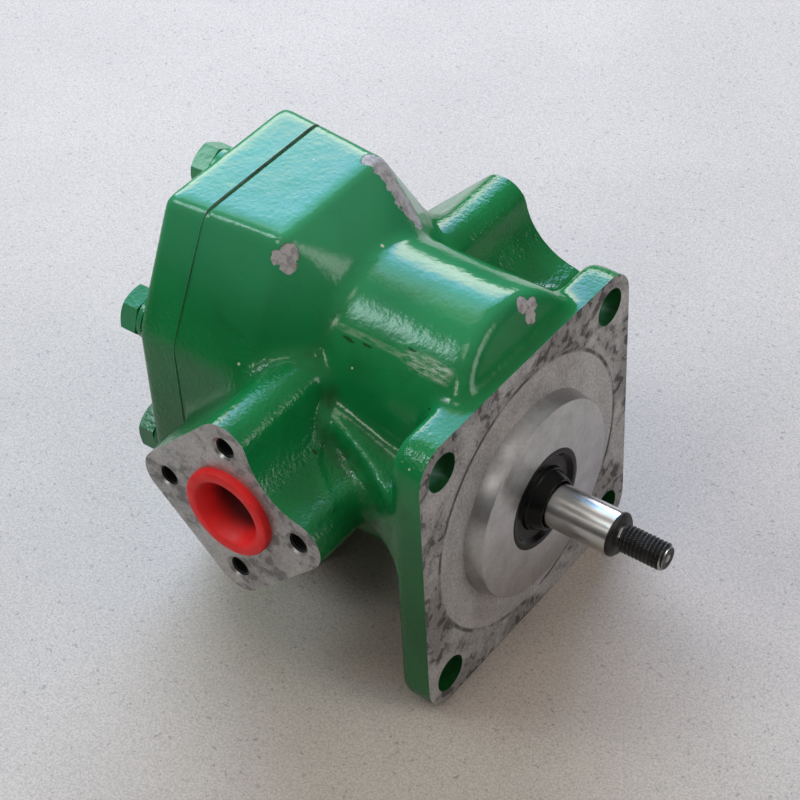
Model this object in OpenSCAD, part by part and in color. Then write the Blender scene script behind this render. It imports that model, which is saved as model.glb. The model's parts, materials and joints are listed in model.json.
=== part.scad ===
// Hydraulic gear pump: a cast body with a square mounting flange, two side ports and a threaded drive shaft.
// Millimetres. The origin is the centre of the mounting face, on the shaft axis.
// +X points out along the shaft, -Y to the plugged port, +Z up to the driven gear.

/* [Mounting flange] */
// Side of the square mounting flange
flange_side = 120; // [116:1:140]
// Thickness of the mounting flange
flange_t = 13; // [10:0.5:18]
// Corner radius of the mounting flange
flange_corner_r = 12; // [6:1:14]
// Bevel around the back of the mounting flange
flange_bevel = 3; // [1:0.5:5]
// Spacing of the mounting holes, both ways
mount_spacing = 96; // [92:1:98]
// Diameter of the mounting holes
mount_hole_d = 14; // [9:0.5:15]
// Least metal around the mounting holes
mount_land = 4.5; // [3:0.5:8]
// Diameter of the nut seats behind the mounting holes
mount_seat_d = 22; // [20:0.5:24]
// Length cleared behind the nut seats
mount_seat_run = 9; // [6:0.5:14]
// Depth of the nut seats in the back of the flange
mount_seat_sink = 0.5; // [0.2:0.1:1]
// Diameter of the locating pilot
pilot_d = 76; // [60:1:84]
// Height of the pilot above the mounting face
pilot_h = 6.5; // [4:0.5:10]
// Bevel around the front of the pilot
pilot_bevel = 1; // [0.5:0.5:2]

/* [Gears] */
// Module of the gear teeth
gear_module = 3; // [2.5:0.1:3.2]
// Number of teeth on each gear
gear_teeth = 13; // [12:1:14]
// Face width of the gears
gear_w = 25; // [16:1:30]
// Pressure angle of the teeth, in degrees
pressure_angle = 25; // [22:1:28]
// Play between the teeth at the pitch circle
backlash = 0.3; // [0.2:0.05:0.5]
// Distance from the mounting face back to the middle of the gears and ports
gear_back = 64.5; // [60:0.5:70]

/* [Gear case] */
// Wall of the round gear case outside the gear chamber
case_wall = 15; // [10:0.5:18]
// Half width of the case between the two round parts
case_waist = 34; // [30:1:36]
// Wall between the gear chamber and the mounting face
front_wall = 27; // [22:1:32]
// How far back from the mounting face the sloped front of the case starts, at the top
slope_back = 10; // [8:0.5:16]
// How far back from the mounting face the slope meets the top of the flange
slope_foot = 3; // [1:0.5:6]

/* [Rear box] */
// Width of the rear box
box_w = 105; // [100:1:116]
// Height of the top of the box above the driven gear's axis
box_rise = 54; // [50:1:60]
// Width of the flat top of the box
box_top_w = 53; // [44:1:64]
// Height of the widest corner above the driven gear's axis
box_shoulder = 11; // [6:1:16]
// Depth of the lower corner below the drive shaft's axis
box_knee = 11; // [6:1:20]
// Radius along the edges of the box
box_edge_r = 4; // [2:0.5:6]
// Distance from the mounting face back to the front edges of the box
box_front = 77.5; // [70:0.5:84]
// Length over which the front of the box slopes in to the round case
box_blend = 18.5; // [12:0.5:24]
// Distance from the middle of the gears back to the cover joint
seam_back = 42; // [39:0.5:50]
// Depth of the groove around the cover joint
seam_groove = 1.2; // [0.6:0.2:2]

/* [Rear cover] */
// Thickness of the rear cover
cover_t = 17.5; // [14:0.5:24]
// Bevel around the back of the rear cover
cover_bevel = 1.5; // [0.5:0.5:3]
// Thread diameter of the cover bolts
bolt_d = 10; // [8:1:10]
// Width across the flats of the bolt heads
bolt_head_af = 16; // [13:1:17]
// Height of the bolt heads
bolt_head_h = 7; // [5:0.5:8]
// Length of thread in the body
bolt_bite = 22; // [16:1:24]
// Distance of the bolts in from the top, the bottom and the sides of the box
bolt_inset = 10.5; // [9.5:0.1:12]
// How far the upper side bolts lie below the widest corner
bolt_upper_drop = 2; // [0:0.5:6]
// How far the lower side bolts lie above the lower corner
bolt_lower_rise = 6; // [0:0.5:10]
// Thickness of the bolt washers
washer_t = 2.5; // [1:0.5:3]
// Diameter of the bolt washers
washer_d = 17; // [16:0.5:18]
// Diameter of the dowel pins
dowel_d = 8; // [5:0.5:9]
// Length of the dowel pins
dowel_len = 22; // [16:1:26]
// Metal between the rubber ring in the cover joint and the dowel pins
dowel_land = 3.3; // [2:0.1:5]

/* [Ports] */
// Distance of each port face from the middle of the pump
port_reach = 78; // [74:1:90]
// Bore of the ports
port_d = 26; // [18:0.5:28]
// Depth of the ports
port_depth = 46; // [36:1:48]
// Diameter of the passage from each port on to the gears
passage_d = 22; // [14:0.5:23]
// Diameter of the bolt circle on each port face
port_pcd = 55; // [52:0.5:60]
// Radius of the lobe around each port bolt hole
port_lobe_r = 10; // [8:0.5:12]
// Distance from the port centre to the scooped side
port_scoop = 23.4; // [21:0.2:26]
// Drilled diameter of the port bolt holes
port_hole_d = 6.8; // [5:0.1:8.5]
// Depth of the port bolt holes
port_hole_depth = 18; // [12:1:22]
// Countersink width around each port bolt hole
port_hole_bevel = 0.9; // [0.4:0.1:1.2]

/* [Webs] */
// Half width of the webs where they leave the port necks
web_root = 43.5; // [40:0.5:48]
// How far the webs flare out at the flange
web_flare = 15; // [10:0.5:16.5]
// Radius of the flare
web_flare_r = 80; // [50:1:90]
// Height of the top of the webs
web_top = 44; // [40:1:50]
// Height of the underside of the webs
web_low = 5; // [0:1:12]

/* [Shafts] */
// Diameter of the shaft end
shaft_d = 16; // [12:0.5:18]
// Distance from the mounting face to the shoulder of the shaft
shaft_reach = 37; // [30:1:50]
// Diameter of the threaded stud
thread_d = 10; // [8:1:11]
// Length of the threaded stud
thread_len = 18; // [12:1:25]
// Bevel at the ends of the shaft
shaft_bevel = 1; // [0.5:0.1:1.4]
// Step from the shaft end up to the seal land
land_step = 0.5; // [0.3:0.1:1]
// Diameter of the bearing journals
journal_d = 20; // [19:0.5:21]
// Width and height of the gear key
key_w = 6; // [4:0.5:6.5]
// Length of the gear key
key_len = 18; // [12:1:20]

/* [Bearings] */
// Wall of the bearing bushes
bush_wall = 2; // [1.5:0.25:2.5]
// Thickness of the wear plates
plate_t = 2.5; // [1.5:0.25:4]
// Land between the bushes and the rubber rings behind the bearing blocks
block_seal_land = 3; // [2:0.25:4]
// Width of the rubber rings behind the bearing blocks
block_seal_w = 2; // [1.5:0.1:2.4]
// Thickness of the rubber rings behind the bearing blocks
block_seal_t = 1.6; // [1:0.1:2.5]
// Land between the gear chamber and the rubber ring in the cover joint
cover_seal_land = 3.5; // [2:0.25:4.5]
// Width of the rubber ring in the cover joint
cover_seal_w = 2.4; // [1.6:0.1:2.8]
// Thickness of the rubber ring in the cover joint
cover_seal_t = 2; // [1.2:0.1:3]

/* [Shaft seal] */
// Outside diameter of the shaft seal
seal_d = 38; // [34:0.5:42]
// Width of the shaft seal
seal_w = 12; // [10:0.5:14]
// Thickness of the rubber and of the steel inside it
seal_wall = 1; // [0.8:0.1:1.4]
// Width of the raised ring around the shaft
seal_collar_w = 3.4; // [2.4:0.1:4.5]
// Depth of the seal's face below its two rims
seal_dish = 1; // [0.5:0.1:1.8]
// Wire diameter of the garter spring
garter_d = 1.4; // [0.8:0.1:1.8]
// Distance of the garter spring from the back of the seal
garter_back = 3.6; // [3:0.1:4.5]
// Depth of the garter spring in the lip
garter_sink = 0.4; // [0.2:0.1:0.6]

/* [Port plug] */
// Diameter of the plug's rim
plug_rim_d = 34; // [31:0.5:36]
// Thickness of the plug's rim
plug_rim_t = 3; // [2:0.5:4]
// Depth of the plug in the port
plug_depth = 14; // [8:1:20]
// Wall of the plug
plug_wall = 1.4; // [1:0.1:2]

/* [Clearances] */
// Radial play of the journals in their bushes
running_play = 0.05; // [0.02:0.01:0.1]
// Play of pressed or close pieces
close_play = 0.02; // [0.01:0.01:0.04]
// Radial play of the gear tips in the chamber
tip_play = 0.3; // [0.2:0.05:0.5]
// Play of the gear faces on the wear plates
face_play = 0.05; // [0.03:0.01:0.1]
// Radial play of the bearing blocks in the chamber
block_play = 0.05; // [0.03:0.01:0.1]
// Radial play of the plug in the port
plug_play = 0.3; // [0.2:0.05:0.5]
// Radial play of bolts in the cover
bolt_play = 0.5; // [0.3:0.1:0.8]
// Radial play of the shaft in the wall behind the seal
wall_play = 0.5; // [0.3:0.1:0.8]
// Axial play at the ends of the shafts
end_play = 0.5; // [0.3:0.1:1]

/* [Hidden] */
$fn = 96;
hull_fn = 32;
edge_steps = 4;
flank_steps = 5;
// Cuts run this far past the faces they open
cut = 1;
// The slope in from the box starts this far under the round case
blend_sink = 1;
// Depth of the teeth below the pitch circle, in modules
dedendum = 1.25;

// Gear sizes
pitch_r = gear_module * gear_teeth / 2;
tip_r = pitch_r + gear_module;
root_r = pitch_r - dedendum * gear_module;
base_r = pitch_r * cos(pressure_angle);
tooth_pitch = 360 / gear_teeth;
driven_z = 2 * pitch_r;
axis_zs = [0, driven_z];
chamber_r = tip_r + tip_play;
case_r = chamber_r + case_wall;
case_back = box_front - box_blend;

// Places along the shaft
gear_x = -gear_back;
gear_front = gear_x + gear_w / 2;
gear_rear = gear_x - gear_w / 2;
plate_front = gear_front + face_play + plate_t;
plate_rear = gear_rear - face_play - plate_t;
chamber_front = -front_wall;
seam_x = gear_x - seam_back;
cover_rear = seam_x - cover_t;
seal_back = pilot_h - seal_w;

// Shaft, bush and seal radii
journal_r = journal_d / 2;
bush_r = journal_r + running_play + bush_wall;
land_r = shaft_d / 2 + land_step;
land_end = pilot_h + land_step;
block_seal_in = bush_r + block_seal_land;
cover_seal_in = chamber_r + cover_seal_land;

// Shaft seal: rubber over a steel ring, with a sprung lip on the land
seal_out = seal_d / 2 - close_play;
case_out = seal_out - seal_wall;
case_in = case_out - seal_wall;
lip_r = land_r + 2 * running_play;
lip_out = lip_r + seal_wall;
collar_r = lip_r + seal_collar_w;
web_x = pilot_h - seal_dish;
case_web_x = web_x - 2 * seal_wall;
garter_x = seal_back + garter_back;
garter_r = lip_out + garter_d / 2 - garter_sink;

// Mounting holes
mount_at = mount_spacing / 2;
mount_pad_r = mount_hole_d / 2 + mount_land;
mount_places = [for (y = [-mount_at, mount_at], z = [-mount_at, mount_at]) [y, z]];

// Outline of the rear box, seen along the shaft
box_hw = box_w / 2;
box_top_hw = box_top_w / 2;
box_top_z = driven_z + box_rise;
box_base_z = -max(flange_side / 2, mount_at + mount_pad_r);
box_outline = [
    [-box_top_hw, box_base_z], [box_top_hw, box_base_z],
    [box_hw, -box_knee], [box_hw, driven_z + box_shoulder],
    [box_top_hw, box_top_z], [-box_top_hw, box_top_z],
    [-box_hw, driven_z + box_shoulder], [-box_hw, -box_knee]
];
bolt_side_y = box_hw - bolt_inset;
bolt_side_zs = [driven_z + box_shoulder - bolt_upper_drop, bolt_lower_rise - box_knee];
bolt_places = [
    [0, box_top_z - bolt_inset], [0, box_base_z + bolt_inset],
    for (y = [-bolt_side_y, bolt_side_y], z = bolt_side_zs) [y, z]
];
dowel_y = cover_seal_in + cover_seal_w + dowel_land + dowel_d / 2;
dowel_places = [for (s = [-1, 1]) [s * dowel_y, pitch_r]];

// Ports, midway between the two gear axes
port_z = pitch_r;
port_hole_at = port_pcd / 2;
scoop_in = port_scoop - port_lobe_r;
scoop_at = (pow(port_hole_at, 2) - pow(scoop_in, 2)) / (sqrt(2) * port_hole_at - 2 * scoop_in);
scoop_r = scoop_at - port_scoop;
plug_r = port_d / 2 - plug_play;
plug_in = plug_r - plug_wall;

// A unit vector, and the inward offset and rounding of an outline that runs anticlockwise
function unit(a) = [cos(a), sin(a)];
function heading(p, q) = (q - p) / norm(q - p);
function wrap(points, i) = points[(i + len(points)) % len(points)];
function left_of(v) = [-v[1], v[0]];
function inset(points, d) = [
    for (i = [0 : len(points) - 1])
        let (a = left_of(heading(wrap(points, i - 1), points[i])))
        let (b = left_of(heading(points[i], wrap(points, i + 1))))
        points[i] + d * (a + b) / (1 + a * b)
];
function rounded(points, r) = [
    for (i = [0 : len(points) - 1])
        let (a = left_of(heading(wrap(points, i - 1), points[i])))
        let (b = left_of(heading(points[i], wrap(points, i + 1))))
        let (centre = points[i] + r * (a + b) / (1 + a * b))
        for (k = [0 : edge_steps])
            let (mix = a * (edge_steps - k) + b * k)
            centre - r * mix / norm(mix)
];

// Involute gear outline, with its first tooth on the first axis
function involute(a) = tan(a) * 180 / PI - a;
function half_tooth(r) =
    (90 / gear_teeth) - backlash / (4 * pitch_r) * 180 / PI
    + involute(pressure_angle) - involute(acos(min(1, base_r / r)));
function flank_r(k) = base_r + (tip_r - base_r) * k / flank_steps;
function flank(side) = [
    for (k = [0 : flank_steps]) flank_r(k) * unit(side * half_tooth(flank_r(k)))
];
function turned(p, a) = [p[0] * cos(a) - p[1] * sin(a), p[0] * sin(a) + p[1] * cos(a)];
function tooth() = concat(
    [root_r * unit(-half_tooth(base_r))],
    flank(-1),
    [for (k = [flank_steps : -1 : 0]) flank(1)[k]],
    [root_r * unit(half_tooth(base_r))]
);
function gear_outline() = [
    for (i = [0 : gear_teeth - 1]) for (p = tooth()) turned(p, i * tooth_pitch)
];

// Flat shapes drawn in Y and Z and drawn out along X, and drawn in X and Z and drawn out along Y
module along_x(x0, x1) {
    translate([x0, 0, 0]) rotate([90, 0, 90]) linear_extrude(x1 - x0) children();
}
module along_y(y0, y1) {
    translate([0, y1, 0]) rotate([90, 0, 0]) linear_extrude(y1 - y0) children();
}
// Round bars along X at a place in Y and Z, and a turned profile of radius against X
module bar(r, x0, x1, at = [0, 0]) {
    translate([x0, at[0], at[1]]) rotate([0, 90, 0]) cylinder(r = r, h = x1 - x0);
}
module tube(r_in, r_out, x0, x1, at = [0, 0]) {
    difference() {
        bar(r_out, x0, x1, at);
        bar(r_in, x0 - cut, x1 + cut, at);
    }
}
module turned_x() {
    rotate([0, 90, 0]) rotate_extrude() children();
}
module twin_bars(r, x0, x1) {
    for (z = axis_zs) bar(r, x0, x1, [0, z]);
}
module box_prism(x0, x1, inward = 0) {
    along_x(x0, x1) polygon(rounded(inset(box_outline, inward), box_edge_r));
}

// Cast body
module flange_plate(x0, x1, inward) {
    at = flange_side / 2 - flange_corner_r;
    for (y = [-at, at], z = [-at, at]) bar(flange_corner_r - inward, x0, x1, [y, z], $fn = hull_fn);
}
module flange() {
    hull() {
        flange_plate(flange_bevel - flange_t, 0, 0);
        flange_plate(-flange_t, flange_bevel - flange_t, flange_bevel);
    }
    for (p = mount_places) bar(mount_pad_r, flange_bevel - flange_t, 0, p);
}
module pilot() {
    turned_x() polygon([
        [0, -cut], [pilot_d / 2, -cut], [pilot_d / 2, pilot_h - pilot_bevel],
        [pilot_d / 2 - pilot_bevel, pilot_h], [0, pilot_h]
    ]);
}
module gear_case() {
    top = driven_z + case_r + cut;
    difference() {
        union() {
            twin_bars(case_r, -box_front, -slope_foot);
            translate([-box_front, -case_waist, 0]) cube([box_front - slope_foot, 2 * case_waist, driven_z]);
        }
        along_y(-case_r - cut, case_r + cut) polygon([
            [-slope_back, top], [-slope_foot, flange_side / 2], [0, flange_side / 2], [0, top]
        ]);
    }
}
module rear_box() {
    box_prism(seam_x + seam_groove / 2, -box_front);
    box_prism(seam_x - cut, seam_x + seam_groove, seam_groove);
    hull() {
        box_prism(-box_front - cut, -box_front);
        twin_bars(case_r - blend_sink, -case_back - cut, -case_back, $fn = hull_fn);
    }
}
module port_outline() {
    difference() {
        hull() for (a = [0 : 90 : 270]) translate(port_hole_at * unit(a)) circle(port_lobe_r, $fn = hull_fn);
        translate(scoop_at * unit(45)) circle(scoop_r);
    }
}
module port_necks() {
    translate([gear_x, 0, port_z]) along_y(-port_reach, port_reach) port_outline();
}
module webs() {
    flare_x = -flange_t - sqrt(2 * web_flare * web_flare_r - pow(web_flare, 2));
    flare_y = web_root + web_flare_r;
    tip = web_root + web_flare;
    h = web_top - web_low;
    difference() {
        union() {
            translate([gear_x, -web_root, web_low]) cube([gear_back - flange_t + cut, 2 * web_root, h]);
            translate([flare_x, -tip, web_low]) cube([-flange_t + cut - flare_x, 2 * tip, h]);
        }
        for (y = [-flare_y, flare_y])
            translate([flare_x, y, web_low - cut]) cylinder(r = web_flare_r, h = h + 2 * cut);
    }
}
module mount_holes() {
    seat_x = mount_seat_sink - flange_t;
    for (p = mount_places) {
        bar(mount_hole_d / 2, seat_x - cut, cut, p);
        bar(mount_seat_d / 2, -flange_t - mount_seat_run, seat_x, p);
    }
}
module port_cuts() {
    r = port_hole_d / 2;
    bevel = port_hole_bevel + cut;
    for (s = [0, 1]) mirror([0, s, 0]) translate([gear_x, -port_reach - cut, port_z]) rotate([-90, 0, 0]) {
        cylinder(r = port_d / 2, h = port_depth + cut);
        cylinder(r = passage_d / 2, h = port_reach + cut);
        for (a = [0 : 90 : 270]) translate(port_hole_at * concat(unit(a), 0)) {
            cylinder(r = r, h = port_hole_depth + cut);
            cylinder(r1 = r + bevel, r2 = r, h = bevel);
        }
    }
}
module behind_seam() {
    reach = 2 * (port_reach + box_top_z);
    along_x(seam_x - port_pcd, seam_x) square(reach, center = true);
}
module pump_body() color("forestgreen") difference() {
    union() {
        flange();
        pilot();
        gear_case();
        rear_box();
        port_necks();
        webs();
    }
    twin_bars(chamber_r, seam_x - cut, chamber_front);
    bar(land_r + wall_play, chamber_front - cut, seal_back + cut);
    bar(seal_d / 2, seal_back, pilot_h + cut);
    behind_seam();
    mount_holes();
    port_cuts();
    for (p = bolt_places) bar(bolt_d / 2 + close_play, seam_x - cut, seam_x + bolt_bite + end_play, p);
    for (p = dowel_places) bar(dowel_d / 2 + close_play, seam_x - cut, seam_x + dowel_len / 2 + end_play, p);
}

// Rear cover and what holds and seals it
module cover_shape() {
    union() {
        hull() {
            box_prism(cover_rear + cover_bevel, seam_x - seam_groove / 2);
            box_prism(cover_rear, cover_rear + cover_bevel, cover_bevel);
        }
        box_prism(seam_x - seam_groove, seam_x, seam_groove);
    }
}
module seal_path(r) {
    for (z = axis_zs) translate([0, z]) circle(r);
    translate([-r, 0]) square([2 * r, driven_z]);
}
module cover_ring(play) {
    along_x(seam_x - cover_seal_t, seam_x) difference() {
        seal_path(cover_seal_in + cover_seal_w + play);
        seal_path(cover_seal_in - play);
    }
}
module rear_cover() color("forestgreen") difference() {
    cover_shape();
    cover_ring(close_play);
    for (p = bolt_places) bar(bolt_d / 2 + bolt_play, cover_rear - cut, seam_x + cut, p);
    for (p = dowel_places) bar(dowel_d / 2 + close_play, seam_x - dowel_len / 2 - end_play, seam_x + cut, p);
}
module cover_bolts() color("seagreen") for (p = bolt_places) {
    under = cover_rear - washer_t;
    union() {
        bar(bolt_d / 2, under, seam_x + bolt_bite, p);
        bar(bolt_head_af / sqrt(3), under - bolt_head_h, under, p, $fn = 6);
    }
}
module cover_washers() color("seagreen")
    for (p = bolt_places) tube(bolt_d / 2 + bolt_play, washer_d / 2, cover_rear - washer_t, cover_rear, p);
module dowel_pins() color("silver")
    for (p = dowel_places) bar(dowel_d / 2, seam_x - dowel_len / 2, seam_x + dowel_len / 2, p);
module cover_seal() color("dimgray") cover_ring(0);

// Shafts, gears and key
module key_block(play) {
    w = key_w + 2 * play;
    l = key_len + 2 * play;
    translate([gear_x - l / 2, -w / 2, journal_r - w / 2]) cube([l, w, w]);
}
module drive_shaft() color("gainsboro") difference() {
    turned_x() polygon([
        [0, seam_x + end_play], [journal_r - shaft_bevel, seam_x + end_play],
        [journal_r, seam_x + end_play + shaft_bevel], [journal_r, chamber_front - end_play],
        [land_r, chamber_front - end_play], [land_r, land_end], [shaft_d / 2, land_end],
        [shaft_d / 2, shaft_reach - shaft_bevel], [shaft_d / 2 - shaft_bevel, shaft_reach],
        [thread_d / 2, shaft_reach], [thread_d / 2, shaft_reach + thread_len - shaft_bevel],
        [thread_d / 2 - shaft_bevel, shaft_reach + thread_len], [0, shaft_reach + thread_len]
    ]);
    key_block(close_play);
}
module gear_blank(phase) {
    along_x(gear_rear, gear_front) difference() {
        rotate(phase) polygon(gear_outline());
        circle(journal_r + close_play);
    }
}
module drive_gear() color("lightsteelblue") difference() {
    gear_blank(90);
    translate([-gear_w / 2 + key_len / 2, 0, 0]) key_block(close_play);
    key_block(close_play);
}
module drive_gear_key() color("darkgray") key_block(0);
module driven_shaft() color("gainsboro") translate([0, 0, driven_z])
    bar(journal_r, seam_x + end_play, chamber_front - end_play);
module driven_gear() color("lightsteelblue") translate([0, 0, driven_z]) gear_blank(270 + tooth_pitch / 2);

// Bearing blocks, bushes, wear plates and their seals
module block_rings(x0, play) {
    for (z = axis_zs)
        tube(block_seal_in - play, block_seal_in + block_seal_w + play, x0, x0 + block_seal_t, [0, z]);
}
module bearing_block(x0, x1) {
    difference() {
        twin_bars(chamber_r - block_play, x0, x1);
        twin_bars(bush_r + close_play, x0 - cut, x1 + cut);
    }
}
module front_bearing_block() color("lightgray") difference() {
    bearing_block(plate_front, chamber_front);
    block_rings(chamber_front - block_seal_t, close_play);
}
module rear_bearing_block() color("lightgray") difference() {
    bearing_block(seam_x, plate_rear);
    block_rings(seam_x, close_play);
}
module bush(x0, x1, z) color("darkkhaki") tube(journal_r + running_play, bush_r, x0, x1, [0, z]);
module drive_front_bush() bush(plate_front, chamber_front, axis_zs[0]);
module drive_rear_bush() bush(seam_x, plate_rear, axis_zs[0]);
module driven_front_bush() bush(plate_front, chamber_front, axis_zs[1]);
module driven_rear_bush() bush(seam_x, plate_rear, axis_zs[1]);
module wear_plate(x0) color("peru") difference() {
    twin_bars(chamber_r - block_play, x0, x0 + plate_t);
    twin_bars(journal_r + wall_play, x0 - cut, x0 + plate_t + cut);
}
module front_wear_plate() wear_plate(plate_front - plate_t);
module rear_wear_plate() wear_plate(plate_rear);
module front_block_seals() color("dimgray") block_rings(chamber_front - block_seal_t, 0);
module rear_block_seals() color("dimgray") block_rings(seam_x, 0);

// Shaft seal
module seal_case() color("slategray") turned_x() polygon([
    [case_out, seal_back + seal_wall], [case_out, case_web_x + seal_wall],
    [collar_r, case_web_x + seal_wall], [collar_r, case_web_x],
    [case_in, case_web_x], [case_in, seal_back + seal_wall]
]);
module shaft_seal() color("black") difference() {
    turned_x() polygon([
        [seal_out, seal_back], [seal_out, pilot_h], [case_in, pilot_h], [case_in - seal_dish, web_x],
        [collar_r, web_x], [collar_r, pilot_h], [lip_r, pilot_h], [lip_r, garter_x - garter_d],
        [lip_out, garter_x - garter_d], [lip_out, case_web_x], [case_in, case_web_x], [case_in, seal_back]
    ]);
    seal_case();
    garter_ring(close_play);
}
module garter_ring(play) {
    turned_x() translate([garter_r, garter_x]) circle(d = garter_d + 2 * play, $fn = hull_fn);
}
module garter_spring() color("silver") garter_ring(0);

// Push-in port plug
module inlet_plug() color("red")
    translate([gear_x, -port_reach, port_z]) rotate([90, 0, 0]) rotate_extrude() polygon([
        [0, -plug_depth], [plug_r, -plug_depth], [plug_r, 0],
        [plug_rim_d / 2, 0], [plug_rim_d / 2, plug_rim_t], [plug_in, plug_rim_t],
        [plug_in, plug_wall - plug_depth], [0, plug_wall - plug_depth]
    ]);

pump_body();
rear_cover();
cover_bolts();
cover_washers();
dowel_pins();
cover_seal();
drive_shaft();
drive_gear();
drive_gear_key();
driven_shaft();
driven_gear();
front_bearing_block();
rear_bearing_block();
drive_front_bush();
drive_rear_bush();
driven_front_bush();
driven_rear_bush();
front_wear_plate();
rear_wear_plate();
front_block_seals();
rear_block_seals();
shaft_seal();
seal_case();
garter_spring();
inlet_plug();
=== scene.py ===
"""Looks of a hydraulic gear pump: painted casting, machined faces, hardware, seal, plug and studio."""

import json
import math

import bmesh
import bpy
from bpy.props import FloatProperty, FloatVectorProperty, IntProperty, PointerProperty
from mathutils import Matrix, Vector, geometry


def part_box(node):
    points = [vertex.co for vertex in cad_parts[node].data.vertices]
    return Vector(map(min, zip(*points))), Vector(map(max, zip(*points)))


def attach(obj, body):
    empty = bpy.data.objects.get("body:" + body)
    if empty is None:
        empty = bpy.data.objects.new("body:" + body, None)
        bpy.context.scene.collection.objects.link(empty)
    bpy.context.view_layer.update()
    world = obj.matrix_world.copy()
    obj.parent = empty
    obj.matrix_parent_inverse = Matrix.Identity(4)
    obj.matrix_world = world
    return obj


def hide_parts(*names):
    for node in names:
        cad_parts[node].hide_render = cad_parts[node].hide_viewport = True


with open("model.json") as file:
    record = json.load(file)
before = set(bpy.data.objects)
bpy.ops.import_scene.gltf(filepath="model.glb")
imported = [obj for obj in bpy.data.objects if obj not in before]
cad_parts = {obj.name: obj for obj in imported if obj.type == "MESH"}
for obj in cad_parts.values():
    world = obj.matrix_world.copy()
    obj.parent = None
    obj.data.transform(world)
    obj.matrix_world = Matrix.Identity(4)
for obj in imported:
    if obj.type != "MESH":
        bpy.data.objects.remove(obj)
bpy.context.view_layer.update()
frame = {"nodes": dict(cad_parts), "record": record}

bl_info = {
    "name": "Hydraulic Gear Pump",
    "version": (1, 0, 0),
    "blender": (4, 5, 0),
    "location": "View3D > Sidebar > Gear Pump",
    "description": "Builds the visible pieces of a painted hydraulic gear pump around its solid frame",
    "category": "Object",
}

MM = 0.001
# Distances at which points of a turned shape, of a copied node and of a finished piece are one
POINT_GAP = 1e-7
NODE_GAP = 1e-6
WELD = 0.002 * MM
MOUNTS = {mount["name"]: mount for mount in frame["record"]["mounts"]}
JOINTS = {joint["name"]: joint for joint in frame["record"]["behaviour"]["joints"]}
BODY_LOW, BODY_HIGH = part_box("pump_body")
COVER_LOW, COVER_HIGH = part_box("rear_cover")
BOLT_LOW, BOLT_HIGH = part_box("cover_bolts")
WASHER_LOW, WASHER_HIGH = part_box("cover_washers")
SHAFT_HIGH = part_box("drive_shaft")[1]
SEAL_LOW, SEAL_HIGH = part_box("shaft_seal")
BLOCK_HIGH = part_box("front_bearing_block")[1]
PLUG_LOW, PLUG_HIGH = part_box("inlet_plug")
DOWEL_LOW, DOWEL_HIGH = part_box("dowel_pins")
DRIVEN_Z = JOINTS["driven_spin"]["pos_m"][2]
PORT_X = MOUNTS["inlet_port_screws"]["pos_m"][0]
PORT_Z = MOUNTS["inlet_port_screws"]["pos_m"][2]
SEAM_X = COVER_HIGH.x
X_AXIS = Vector((1, 0, 0))
Y_AXIS = Vector((0, 1, 0))
Z_AXIS = Vector((0, 0, 1))


def dims(mount, key):
    """A size of one of the record's mounts, in metres."""
    return MOUNTS[mount]["dims"][key] * MM


def length(name, description, default):
    """A length property in metres."""
    return FloatProperty(name=name, description=description, default=default, min=0, subtype="DISTANCE",
                         unit="LENGTH", precision=5)


def colour(name, description, default):
    """A colour property."""
    return FloatVectorProperty(name=name, description=description, default=default, min=0, max=1, size=3,
                               subtype="COLOR")


def factor(name, description, default):
    """A property between 0 and 1."""
    return FloatProperty(name=name, description=description, default=default, min=0, max=1, subtype="FACTOR")


def amount(name, description, default):
    """A property for a strength, a slope or a lens."""
    return FloatProperty(name=name, description=description, default=default, min=0)


def heading(name, description, default):
    """A property for a direction."""
    return FloatVectorProperty(name=name, description=description, default=default, size=3,
                               subtype="DIRECTION")


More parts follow.
